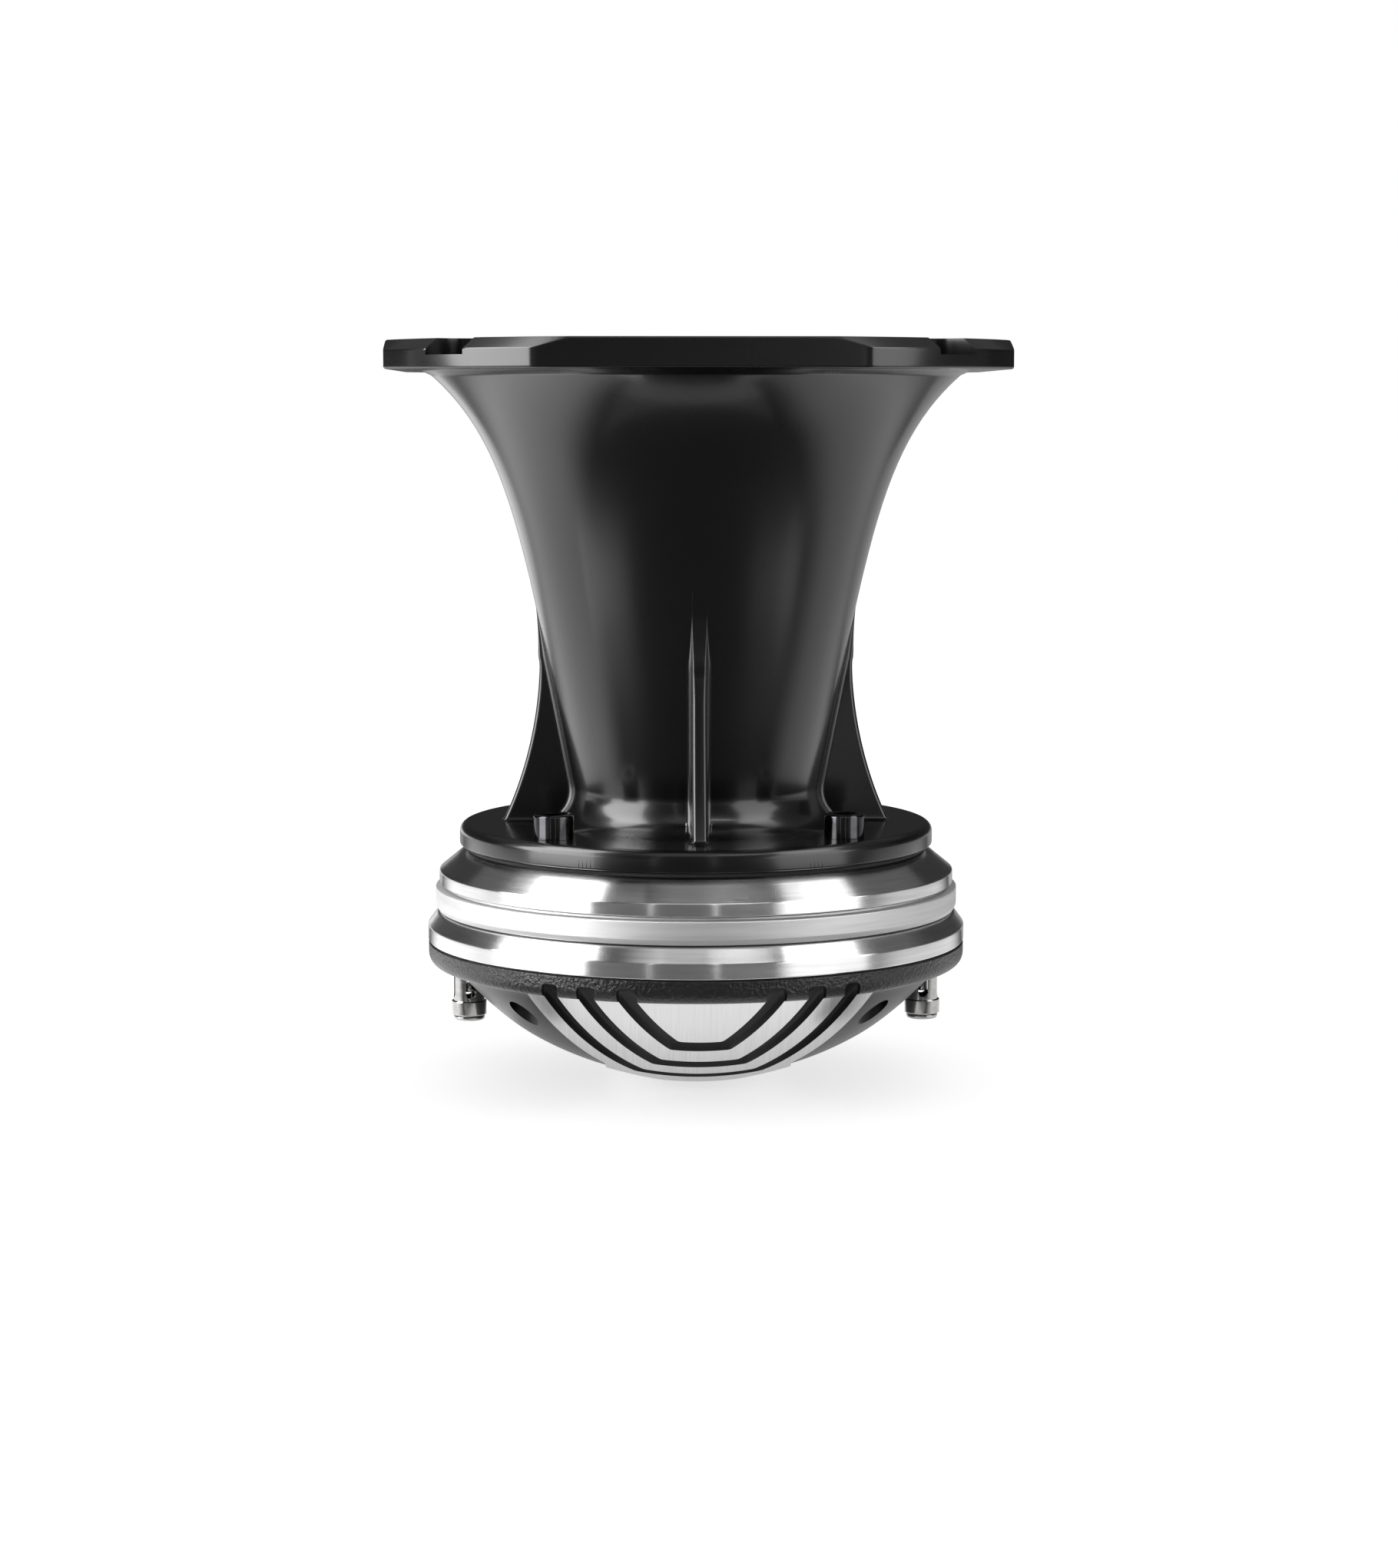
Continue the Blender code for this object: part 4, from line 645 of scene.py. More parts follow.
def lathe_lines_group():
    """Lines left by a turning tool: they follow the radius and the height, and drift along the turn."""
    tree, given, out = value_group("lathe_lines", [("Line pitch", 0.0001), ("Drift", 3.0)],
                                   ["Fine", "Broad"])
    where = tree.nodes.new("ShaderNodeTexCoord")
    parts = tree.nodes.new("ShaderNodeSeparateXYZ")
    tree.links.new(where.outputs["Object"], parts.inputs[0])
    x, y, z = parts.outputs
    squares = maths(tree, "ADD", maths(tree, "MULTIPLY", x, x), maths(tree, "MULTIPLY", y, y))
    radius = maths(tree, "SQRT", squares)
    angle = maths(tree, "ARCTAN2", x, maths(tree, "MULTIPLY", y, -1.0))
    for label, factor in (("Fine", 1.0), ("Broad", 0.12)):
        pitch = maths(tree, "DIVIDE", factor, given.outputs["Line pitch"])
        spot = tree.nodes.new("ShaderNodeCombineXYZ")
        tree.links.new(maths(tree, "MULTIPLY", radius, pitch), spot.inputs["X"])
        tree.links.new(maths(tree, "MULTIPLY", z, pitch), spot.inputs["Y"])
        tree.links.new(maths(tree, "MULTIPLY", angle, given.outputs["Drift"]), spot.inputs["Z"])
        noise = tree.nodes.new("ShaderNodeTexNoise")
        noise.inputs["Scale"].default_value = 1.0
        noise.inputs["Detail"].default_value = 2.0
        tree.links.new(spot.outputs[0], noise.inputs["Vector"])
        tree.links.new(noise.outputs["Fac"], out.inputs[label])
    return tree


LATHE_LINES = lathe_lines_group()


def turned_finish(name, dark, light, roughness, anisotropy, pitch, depth, strength):
    """Bare metal with lathe lines in its colour, gloss and surface."""
    middle = tuple((a + b) / 2 for a, b in zip(dark, light))
    material, tree, shader = new_material(name, middle, roughness[0], 1.0)
    lines = add_group(tree, LATHE_LINES, Line_pitch=pitch, Drift=3.0)
    tint(tree, lines.outputs["Broad"], dark, light, shader)
    spread(tree, lines.outputs["Fine"], *roughness, shader.inputs["Roughness"])
    roughen(tree, lines.outputs["Fine"], depth, strength, shader)
    shader.inputs["Anisotropic"].default_value = anisotropy
    shader.inputs["Anisotropic Rotation"].default_value = 0.25
    tangent = tree.nodes.new("ShaderNodeTangent")
    tangent.direction_type = "RADIAL"
    tangent.axis = "Z"
    tree.links.new(tangent.outputs[0], shader.inputs["Tangent"])
    return material


TURNED_METAL = turned_finish("turned_bare_metal", (0.62, 0.62, 0.62), (0.72, 0.72, 0.72), (0.2, 0.25), 1.0,
                             0.00012, 0.000003, 0.2)
SATIN_METAL = turned_finish("satin_bare_metal", (0.5, 0.5, 0.5), (0.58, 0.58, 0.58), (0.52, 0.6), 0.0,
                            0.00014, 0.000004, 0.25)

front_section = eased([
    (FRONT_TOP_RADIUS, Z_FRONT_TOP), (FRONT_BAND_RADIUS, Z_FRONT_TOP - FRONT_CONE),
    (FRONT_BAND_RADIUS, Z_FRONT), (POLE_RADIUS + FIT, Z_FRONT), (POLE_RADIUS + FIT, Z_FRONT_TOP)],
    [0.0022, 0.0003, 0.0003, 0.0003, 0.0003], 6)
front = lathe("front_plate_turned", front_section, FINE_STEPS, TURNED_METAL)
dress(even_shading(front), BODY, "turned_metal", "front_plate")

spacer_top = Z_MAGNET_TOP - SPACER_STEP_HEIGHT
spacer_section = eased([
    (SPACER_RADIUS - SPACER_STEP, Z_MAGNET_TOP), (SPACER_RADIUS - SPACER_STEP, spacer_top),
    (SPACER_RADIUS, spacer_top), (SPACER_RADIUS, Z_MAGNET + SPACER_CHAMFER_HEIGHT),
    (SPACER_RADIUS - SPACER_CHAMFER, Z_MAGNET), (MAGNET_RADIUS + FIT, Z_MAGNET),
    (MAGNET_RADIUS + FIT, Z_MAGNET_TOP)], 0.00025, 4)
spacer = lathe("spacer_ring_turned", spacer_section, FINE_STEPS, SATIN_METAL)
dress(even_shading(spacer), BODY, "satin_metal", "mid_ring")

rear_section = eased([
    (REAR_TOP_RADIUS, Z_REAR_TOP), (REAR_BAND_RADIUS, Z_REAR + REAR_BAND), (REAR_BAND_RADIUS, Z_REAR),
    (GAP_RADIUS, Z_REAR), (GAP_RADIUS, Z_REAR_TOP)], [0.0008, 0.0003, 0.0003, 0.0003, 0.0003], 5)
rear = lathe("rear_ring_turned", rear_section, FINE_STEPS, TURNED_METAL)
dress(even_shading(rear), BODY, "turned_metal", "rear_ring")


# Pole piece and phase plug
# The turned steel pole opens into the throat, and the moulded plug in it guides the sound from
# the dome through ring slots. Both show at the bottom of the horn.

Z_PLUG_SEAT = 0.040968
Z_PLUG_TOP = 0.049968
PLUG_RADIUS = 0.0327
PLUG_EXIT_RADIUS = 0.0217
PLUG_NOSE_RADIUS = 0.006
PLUG_NOSE_HEIGHT = 0.006
PLUG_SLOTS = 3
PLUG_SLOT_HALF = 0.0007
PLUG_SLOT_WIDE = 0.0011
PLUG_SLOT_START = 0.35
PLUG_FACE_RADIUS = 0.0438
Z_DOME_CENTRE = 0.063368
PLUG_SPOKE_HALF = 0.0008
PLUG_SPOKE_LOW = 0.042568
PLUG_SPOKE_HIGH = 0.046568

POLE_STEEL = turned_finish("plated_pole_steel", (0.3, 0.29, 0.27), (0.42, 0.41, 0.39), (0.24, 0.36), 0.3,
                           0.0002, 0.000006, 0.4)
PLUG_PLASTIC, _ = grained("moulded_black_plastic", (0.012, 0.012, 0.013), (0.022, 0.022, 0.024),
                          (0.38, 0.5), 0.0,
                          0.0003, 0.006, 0.00002, 0.25)

pole_section = eased([
    (POLE_RADIUS, Z_FRONT_TOP), (POLE_RADIUS, Z_REAR), (PLUG_RADIUS + FIT, Z_REAR),
    (PLUG_RADIUS + FIT, Z_PLUG_SEAT),
    (PLUG_EXIT_RADIUS + FIT, Z_PLUG_TOP), (THROAT_RADIUS, Z_FRONT_TOP)], 0.0003, 3)
pole = lathe("pole_piece_turned", pole_section, 160, POLE_STEEL)
dress(even_shading(pole), BODY, "pole_steel", "pole_piece")


def plug_face(radius):
    return radius, Z_DOME_CENTRE - math.sqrt(PLUG_FACE_RADIUS ** 2 - radius ** 2)


def make_phase_plug():
    top_pitch = (PLUG_EXIT_RADIUS - PLUG_NOSE_RADIUS) / PLUG_SLOTS
    face_pitch = PLUG_RADIUS / (PLUG_SLOTS + 0.5)
    slots = [(PLUG_NOSE_RADIUS + top_pitch * (number + PLUG_SLOT_START), face_pitch * (number + 1))
             for number in range(PLUG_SLOTS)]
    nose = [(PLUG_NOSE_RADIUS * share, Z_PLUG_TOP + PLUG_NOSE_HEIGHT * (1 - share ** 1.4))
            for share in np.linspace(0.0, 1.0, 12)]
    first_top, first_bottom = slots[0]
    nose += [(first_top - PLUG_SLOT_WIDE - 0.0002, Z_PLUG_TOP),
             (first_top - PLUG_SLOT_WIDE, Z_PLUG_TOP - 0.0002),
             plug_face(first_bottom - PLUG_SLOT_HALF), plug_face(first_bottom / 2), (0.0, plug_face(0.0)[1])]
    plug = lathe("phase_plug_moulded", nose, 96, PLUG_PLASTIC, closed=False)
    rings = []
    for number, (top, bottom) in enumerate(slots):
        if number + 1 < PLUG_SLOTS:
            next_top, next_bottom = slots[number + 1]
            outer = [(next_top - PLUG_SLOT_WIDE, Z_PLUG_TOP), plug_face(next_bottom - PLUG_SLOT_HALF)]
        else:
            outer = [(PLUG_EXIT_RADIUS - FIT, Z_PLUG_TOP), (PLUG_RADIUS, Z_PLUG_SEAT),
                     plug_face(PLUG_RADIUS)]
        inner = [plug_face(bottom + PLUG_SLOT_HALF), (top + PLUG_SLOT_WIDE, Z_PLUG_TOP)]
        rings.append(lathe("ring", eased(outer + inner, 0.0002, 2), 96))
    share = (PLUG_SPOKE_HIGH - Z_PLUG_SEAT) / (Z_PLUG_TOP - Z_PLUG_SEAT)
    reach = PLUG_RADIUS + (PLUG_EXIT_RADIUS - PLUG_RADIUS) * share - 2 * PLUG_SPOKE_HALF
    half = PLUG_SPOKE_HALF
    for number in range(3):
        spoke = prism("spoke", [(-reach, -half), (reach, -half), (reach, half), (-reach, half)],
                      PLUG_SPOKE_LOW, PLUG_SPOKE_HIGH)
        spoke.data.transform(Matrix.Rotation(math.radians(60 * number + 34), 4, "Z"))
        rings.append(spoke)
    return join_pieces(plug, *rings)


dress(even_shading(make_phase_plug()), BODY, "black_plastic", "phase_plug")


# Rear cover
# A cast aluminium dome with a dark textured coat. Its face is ground bright after coating, so the
# ribs between the grooves are silver and the grooves, wings and rim stay dark.

COVER_SPHERE = 0.085
COVER_TURNED_RADIUS = 0.0654
COVER_RIM_RADIUS = 0.069
COVER_RIM_ROUND = 0.0034
COVER_RIM_FULLNESS = 0.8
COVER_CAVITY_RADIUS = 0.0473
COVER_CAVITY_SPHERE = 0.079
Z_LIP = 0.030706
Z_COVER = 0.036666
SEAL_DEPTH = 0.001
SEAL_INNER = 0.0646
SEAL_OUTER = 0.06865
RIM_JOINT = 0.0002
GROOVE_FLOOR_SPHERE = 0.083
GROOVE_COUNT = 3
GROOVE_WIDTH = 0.0038
GROOVE_ARM_WIDTH = 0.0041
GROOVE_FIRST_EDGE = 0.0534
GROOVE_PITCH = 0.0095
GROOVE_FIRST_ARM = 0.03395
GROOVE_ARM_PITCH = 0.0097
GROOVE_ROOF = 0.0344
GROOVE_RUN_OUT = 0.007
GROOVE_RIM_WIDENING = 0.12
GROOVE_BEND = 0.0008
GROOVE_FLOOR_FILLET = 0.0007
GROOVE_RIM_FILLET = 0.001
WING_SPHERE = 0.084
WING_INNER_EDGE = 0.0233
WING_ARM_OFFSET = 0.00735
WING_RIM_REACH = 0.0012
WING_ROOF = 0.0311
WING_SINK = 0.0024
WING_SINK_START = 0.044
WING_SINK_WIDTH = 0.032
BAND_EASE = 0.00097
BAND_EASE_START = 0.009
BAND_EASE_FLAT = 0.015
BAND_EASE_WIDTH = 0.026
BELOW_COVER = -0.003
COVER_SCREW_CIRCLE = 0.0565
COVER_SCREW_ANGLE = 39.9
COUNTERBORE_RADIUS = 0.00375
COUNTERBORE_FLOOR = 0.030866
TERMINAL_CIRCLE = 0.0588
TERMINAL_BORE_RADIUS = 0.0049
TERMINAL_BORE_TOP = 0.032968

COVER_COAT, cover_shader = grained("dark_textured_coat", (0.005, 0.005, 0.005), (0.009, 0.009, 0.009),
                                   (0.30, 0.40), 0.0, 0.0008, 0.02, 0.0004, 0.8)
cover_shader.inputs["Specular IOR Level"].default_value = 0.5
SMOOTH_COAT, smooth_shader = grained("dark_smooth_coat", (0.005, 0.005, 0.005), (0.009, 0.009, 0.009),
                                     (0.34, 0.40), 0.0, 0.0005, 0.02, 0.00006, 0.4)
smooth_shader.inputs["Specular IOR Level"].default_value = 0.28


def ground_finish(name, dark, light, roughness, pitch, depth, strength):
    """Bare metal ground from front to back, with fine straight lines along Y, and painted shade that darkens
    it at a low angle.
    """
    middle = tuple((a + b) / 2 for a, b in zip(dark, light))
    material, tree, shader = new_material(name, middle, roughness[0], 1.0)
    where = tree.nodes.new("ShaderNodeTexCoord")
    stretch = tree.nodes.new("ShaderNodeMapping")
    stretch.inputs["Scale"].default_value = (1.0 / pitch, 40.0, 40.0)
    tree.links.new(where.outputs["Object"], stretch.inputs["Vector"])
    lines = tree.nodes.new("ShaderNodeTexNoise")
    lines.inputs["Scale"].default_value = 1.0
    lines.inputs["Detail"].default_value = 3.0
    tree.links.new(stretch.outputs["Vector"], lines.inputs["Vector"])
    # Painted shade: the base colour is made darker where the face is seen at a low angle, for the dimmer
    # light its lower edge reflects.
    slant = tree.nodes.new("ShaderNodeLayerWeight")
    painted_grazing_shade = tree.nodes.new("ShaderNodeMapRange")
    painted_grazing_shade.inputs["From Min"].default_value = 0.45
    painted_grazing_shade.inputs["From Max"].default_value = 1.0
    painted_grazing_shade.inputs["To Min"].default_value = 0.5
    painted_grazing_shade.inputs["To Max"].default_value = 0.0
    tree.links.new(slant.outputs["Facing"], painted_grazing_shade.inputs["Value"])
    lines_and_painted_shade = tree.nodes.new("ShaderNodeMath")
    lines_and_painted_shade.operation = "MULTIPLY_ADD"
    lines_and_painted_shade.inputs[1].default_value = 0.4
    tree.links.new(lines.outputs["Fac"], lines_and_painted_shade.inputs[0])
    tree.links.new(painted_grazing_shade.outputs["Result"], lines_and_painted_shade.inputs[2])
    tint(tree, lines_and_painted_shade.outputs["Value"], dark, light, shader)
    spread(tree, lines.outputs["Fac"], *roughness, shader.inputs["Roughness"])
    roughen(tree, lines.outputs["Fac"], depth, strength, shader)
    return material


# The dark end of this colour range carries painted shade at low angles as well as the darker grinding lines.
GROUND_FACE = ground_finish("ground_cover_face", (0.44, 0.44, 0.44), (0.75, 0.75, 0.75), (0.28, 0.36),
                            0.00022, 0.000003, 0.2)


def sphere_height(radius, sphere):
    """Height of a sphere's lower skin at a radius; all the cover's spheres share one centre."""
    return COVER_SPHERE - np.sqrt(np.maximum(sphere ** 2 - np.asarray(radius) ** 2, 0.0))


def soft_least(first, second, soft):
    """The lesser of two heights, with a soft change from one to the other."""
    share = np.clip(0.5 + 0.5 * (second - first) / soft, 0.0, 1.0)
    return second * (1 - share) + first * share - soft * share * (1 - share)


def make_cover_blank():
    section = [(radius, float(sphere_height(radius, COVER_CAVITY_SPHERE)))
               for radius in np.linspace(0.0, COVER_CAVITY_RADIUS, 10)]
    section += [(COVER_CAVITY_RADIUS, Z_COVER), (SEAL_INNER, Z_COVER), (SEAL_INNER, Z_COVER - SEAL_DEPTH),
                (SEAL_OUTER, Z_COVER - SEAL_DEPTH), (SEAL_OUTER, Z_COVER - RIM_JOINT),
                (COVER_RIM_RADIUS - 0.0002, Z_COVER - RIM_JOINT),
                (COVER_RIM_RADIUS, Z_COVER - 2 * RIM_JOINT)]
    width = COVER_RIM_RADIUS - COVER_TURNED_RADIUS
    for turn in np.radians(np.linspace(0.0, 90.0, 14, endpoint=False)):
        section.append((COVER_TURNED_RADIUS + width * math.cos(turn) ** COVER_RIM_FULLNESS,
                        Z_LIP + COVER_RIM_ROUND * (1 - math.sin(turn) ** COVER_RIM_FULLNESS)))
    section += [(radius, float(sphere_height(radius, COVER_SPHERE)))
                for radius in COVER_TURNED_RADIUS * np.linspace(1.0, 0.0, 40)]
    return lathe("rear_cover_cast", section, 288, COVER_COAT, GROUND_FACE, SMOOTH_COAT, closed=False)


def bent_line(edge, arm, reach, run_out, steps):
    """Plan points of a line that crosses the front, turns out at 45 degrees and runs out at the rim."""
    corner = edge - arm * math.sqrt(2)
    run = (math.sqrt(2 * reach ** 2 - (edge - corner) ** 2) - (edge + corner)) / 2
    end = corner + run
    corners = [(-end, -edge - run), (-corner, -edge), (corner, -edge), (end, -edge - run)]
    soft = eased(corners, [0, GROOVE_BEND, GROOVE_BEND, 0], 4, closed=False)
    made = []
    for first, second in zip(soft, soft[1:]):
        long = math.dist(first, second) > 0.004
        shares = np.linspace(0.0, 1.0, steps, endpoint=False) if long else [0.0]
        made += [np.array(first) * (1 - s) + np.array(second) * s for s in shares]
    made += [np.array(soft[-1])]
    tail = [np.array((end, -edge - run - step)) for step in np.linspace(0.0, run_out, 13)[1:]]
    return [place * (-1.0, 1.0) for place in reversed(tail)] + made + tail


def groove_cutter(number, half_turn):
    """A channel along a bent line, with a rounded floor, that runs out through the foot of the rim."""
    edge = GROOVE_FIRST_EDGE - GROOVE_PITCH * number
    arm = GROOVE_FIRST_ARM - GROOVE_ARM_PITCH * number
    outer = bent_line(edge, arm, COVER_TURNED_RADIUS, GROOVE_RUN_OUT, 14)
    inner = bent_line(edge - GROOVE_WIDTH, arm - GROOVE_ARM_WIDTH, COVER_TURNED_RADIUS, GROOVE_RUN_OUT, 14)
    pairs = list(zip(outer, inner))
    points = []
    for one, other in pairs:
        beyond = (np.linalg.norm(one) - COVER_TURNED_RADIUS) / (COVER_RIM_RADIUS - COVER_TURNED_RADIUS)
        other = other + (other - one) * GROOVE_RIM_WIDENING * np.clip(beyond, 0.0, 1.0) ** 2
        across = other - one
        wide = np.linalg.norm(across)
        across = across / wide
        at_rim = np.clip((np.linalg.norm(one) - COVER_TURNED_RADIUS + 0.004) / 0.004, 0.0, 1.0)
        fillet = min(GROOVE_FLOOR_FILLET + (GROOVE_RIM_FILLET - GROOVE_FLOOR_FILLET) * at_rim, 0.4 * wide)
        plan = [(one, None), (one, fillet), (one + across * 0.3 * fillet, 0.3 * fillet),
                (one + across * fillet, 0.0), (other - across * fillet, 0.0),
                (other - across * 0.3 * fillet, 0.3 * fillet), (other, fillet), (other, None)]
        for place, drop in plan:
            height = BELOW_COVER
            if drop is not None:
                floor = sphere_height(np.linalg.norm(place), GROOVE_FLOOR_SPHERE)
                height = float(soft_least(floor, GROOVE_ROOF, 0.003)) - drop
            points.append((place[0], place[1], height))
    count = 8
    faces = grid_faces(len(pairs), count)
    faces += [tuple(reversed(range(count))), tuple(range(len(points) - count, len(points)))]
    cutter = new_piece("groove", points, faces)
    shape = bmesh.new()
    shape.from_mesh(cutter.data)
    bmesh.ops.recalc_face_normals(shape, faces=shape.faces)
    shape.to_mesh(cutter.data)
    shape.free()
    cutter.data.transform(Matrix.Rotation(math.radians(half_turn), 4, "Z"))
    return cutter


def wing_cutter(half_turn):
    """The recessed side of the cover, from its straight inner edge out to the rim."""
    outer = COVER_TURNED_RADIUS + WING_RIM_REACH
    reach = (WING_ARM_OFFSET + math.sqrt(2 * outer ** 2 - WING_ARM_OFFSET ** 2)) / 2 - 0.0004
    rows, columns = 64, 28
    top, bottom = [], []
    for y in np.linspace(-reach, reach, rows):
        start = max(WING_INNER_EDGE, abs(y) - WING_ARM_OFFSET)
        for x in np.linspace(start, math.sqrt(outer ** 2 - y ** 2), columns):
            radius = math.hypot(x, y)
            sink = np.clip((radius - WING_SINK_START) / (COVER_TURNED_RADIUS - WING_SINK_START), 0.0, 1.0)
            beside = math.cos(min(abs(y) / WING_SINK_WIDTH, 1.0) * math.pi / 2) ** 2
            floor = sphere_height(radius, WING_SPHERE)
            floor = floor + WING_SINK * beside * math.sin(sink * math.pi / 2) ** 2
            floor = soft_least(floor, WING_ROOF, 0.002)
            top.append((x, y, float(floor)))
            bottom.append((x, y, BELOW_COVER))
    upper = grid_faces(rows, columns, close_columns=False)
    offset = len(top)
    faces = upper + [tuple(offset + i for i in reversed(face)) for face in upper]
    rim = [(r, 0) for r in range(rows)] + [(rows - 1, c) for c in range(1, columns)]
    rim += [(r, columns - 1) for r in range(rows - 2, -1, -1)] + [(0, c) for c in range(columns - 2, 0, -1)]
    loop = [r * columns + c for r, c in rim]
    for first, second in zip(loop, loop[1:] + loop[:1]):
        faces.append((first, second, offset + second, offset + first))
    cutter = new_piece("wing", top + bottom, faces)
    shape = bmesh.new()
    shape.from_mesh(cutter.data)
    bmesh.ops.recalc_face_normals(shape, faces=shape.faces)
    shape.to_mesh(cutter.data)
    shape.free()
    cutter.data.transform(Matrix.Rotation(math.radians(half_turn), 4, "Z"))
    return cutter


def bore_cutter(x, y, radius, top, steps):
    return prism("bore", arc((x, y), radius, 0.0, 360.0 - 360.0 / steps, steps - 1), BELOW_COVER, top)


def rim_radius(height):
    """Radius of the rim's rounded edge at a height."""
    rise = np.clip(1 - (height - Z_LIP) / COVER_RIM_ROUND, 0.0, 1.0) ** (1 / COVER_RIM_FULLNESS)
    width = COVER_RIM_RADIUS - COVER_TURNED_RADIUS
    return COVER_TURNED_RADIUS + width * math.sqrt(1 - rise ** 2) ** COVER_RIM_FULLNESS


def face_the_cover(piece):
    """Give the turned faces their bright finish, and true round shading to each spherical skin."""
    mesh = piece.data
    mesh.set_sharp_from_angle(angle=math.radians(35))
    centre = Vector((0.0, 0.0, COVER_SPHERE))
    normals = np.zeros(len(mesh.loops) * 3)
    mesh.corner_normals.foreach_get("vector", normals)
    normals = normals.reshape(-1, 3)
    for face in mesh.polygons:
        arm = face.center - centre
        radius = math.hypot(face.center.x, face.center.y)
        faces_out = face.normal.dot(arm.normalized()) > 0.985
        off_skin = [abs((mesh.vertices[v].co - centre).length - COVER_SPHERE) for v in face.vertices]
        on_skin = max(off_skin) < 0.00002
        on_rim = radius > rim_radius(face.center.z) - 0.0002
        face.material_index = 0 if on_rim else 2
        if faces_out and on_skin and radius < COVER_TURNED_RADIUS:
            face.material_index = 1
        if face.material_index == 1:
            for loop, vertex in zip(face.loop_indices, face.vertices):
                normals[loop] = (mesh.vertices[vertex].co - centre).normalized()
    mesh.normals_split_custom_set([tuple(n) for n in normals])
    return piece


def ease_bands(piece):
    """Let the bright skin rise towards the wings, so that the lower outline runs smoothly into them."""
    centre = Vector((0.0, 0.0, COVER_SPHERE))
    for vertex in piece.data.vertices:
        x, y = abs(vertex.co.x), abs(vertex.co.y)
        depth = COVER_SPHERE - (vertex.co - centre).length
        in_band = BAND_EASE_START < x < WING_INNER_EDGE - 0.00005 and depth < 0.003
        on_edge = abs(x - WING_INNER_EDGE) <= 0.00005 and depth < 0.0005
        if in_band or on_edge:
            outward = (x - BAND_EASE_START) / (WING_INNER_EDGE - BAND_EASE_START)
            along = float(np.clip((BAND_EASE_WIDTH - y) / (BAND_EASE_WIDTH - BAND_EASE_FLAT), 0.0, 1.0))
            vertex.co.z += BAND_EASE * outward ** 1.3 * along ** 2 * (3 - 2 * along)
    return piece


cover = make_cover_blank()
channels = [groove_cutter(number, turn) for turn in (0, 180) for number in range(GROOVE_COUNT)]
cut_away(cover, join_pieces(*channels))
cut_away(cover, join_pieces(wing_cutter(0), wing_cutter(180)))
bores = []
for turn in (COVER_SCREW_ANGLE, 180 - COVER_SCREW_ANGLE, 180 + COVER_SCREW_ANGLE, 360 - COVER_SCREW_ANGLE):
    bores.append(bore_cutter(COVER_SCREW_CIRCLE * math.cos(math.radians(turn)),
                             COVER_SCREW_CIRCLE * math.sin(math.radians(turn)),
                             COUNTERBORE_RADIUS, COUNTERBORE_FLOOR, 48))
for side in (-1, 1):
    bores.append(bore_cutter(side * TERMINAL_CIRCLE, 0.0, TERMINAL_BORE_RADIUS, TERMINAL_BORE_TOP, 48))
cut_away(cover, join_pieces(*bores))
dress(ease_bands(face_the_cover(cover)), BODY, "cover_paint", "rear_cover")


# Cover screws
# Four socket-head screws of blackened steel, sunk in counterbores, hold the cover to the rear ring.

COVER_SCREW_LEAN = 45.0 - COVER_SCREW_ANGLE
COVER_SCREW_SEAT = 0.030566
COVER_SCREW_HEAD_RADIUS = 0.0034
COVER_SCREW_HEAD_HEIGHT = 0.004
COVER_SCREW_SOCKET_RADIUS = 0.0017
COVER_SCREW_SOCKET_DEPTH = 0.002
COVER_SCREW_RADIUS = 0.002
COVER_SCREW_TIP = 0.041968

cover_screws = socket_screw("cover_screws", COVER_SCREW_CIRCLE, COVER_SCREW_HEAD_RADIUS,
                            (COVER_SCREW_SEAT, COVER_SCREW_SEAT - COVER_SCREW_HEAD_HEIGHT), 0.0004,
                            COVER_SCREW_RADIUS, COVER_SCREW_TIP, COVER_SCREW_SOCKET_RADIUS,
                            COVER_SCREW_SOCKET_DEPTH)
copied_round(cover_screws, 4, 45.0, BLACK_STEEL, pair_lean=-COVER_SCREW_LEAN)
dress(even_shading(cover_screws), BODY, "black_steel", "cover_screw_1", "cover_screw_2", "cover_screw_3",
      "cover_screw_4")


# Spring terminals
# A nickel-plated brass sleeve with crossed slots slides up a fixed post against a coil spring.
# The post stands in a plastic bush in the cover, and a pressed-in plug closes the sleeve's end.

Z_SLEEVE = 0.016368
Z_SLEEVE_TOP = 0.028968
SLEEVE_RADIUS = 0.004
SLEEVE_BORE_RADIUS = 0.0031
COLLAR_RADIUS = 0.0045
COLLAR_HEIGHT = 0.0037
LEDGE_TOP = 0.026568
LEDGE_HEIGHT = 0.001
SLOT_HALF = 0.0013
SLOT_FLOOR = 0.0045
POST_RADIUS = 0.0017
POST_FOOT = 0.022268
POST_TOP = 0.039668
SHOULDER = 0.031268
SHOULDER_TOP = 0.032068
SHOULDER_RADIUS = 0.0029
CROSS_HOLE_RADIUS = 0.0008
CROSS_HOLE_HEIGHT = 0.025068
BUSH_RADIUS = 0.0032
BUSH_FLANGE_RADIUS = 0.0044
BUSH_FOOT = 0.032368
BUSH_SEAT = 0.034868
BUSH_TOP = 0.035468
END_PLUG_TOP = 0.016068
END_PLUG_HEIGHT = 0.0012
END_PLUG_SHANK = 0.0032
SPRING_RADIUS = 0.0024
SPRING_WIRE = 0.00025
SPRING_LOW = 0.027118
SPRING_HIGH = 0.030718
SPRING_TURNS = 2.5

BRIGHT_NICKEL = turned_finish("bright_nickel_plate", (0.34, 0.336, 0.33), (0.42, 0.416, 0.41),
                              (0.1, 0.16), 0.0,
                              0.0002, 0.000002, 0.3)
SPRING_STEEL = turned_finish("drawn_spring_steel", (0.5, 0.5, 0.5), (0.62, 0.62, 0.62), (0.22, 0.32), 0.0,
                             0.0002, 0.000003, 0.3)


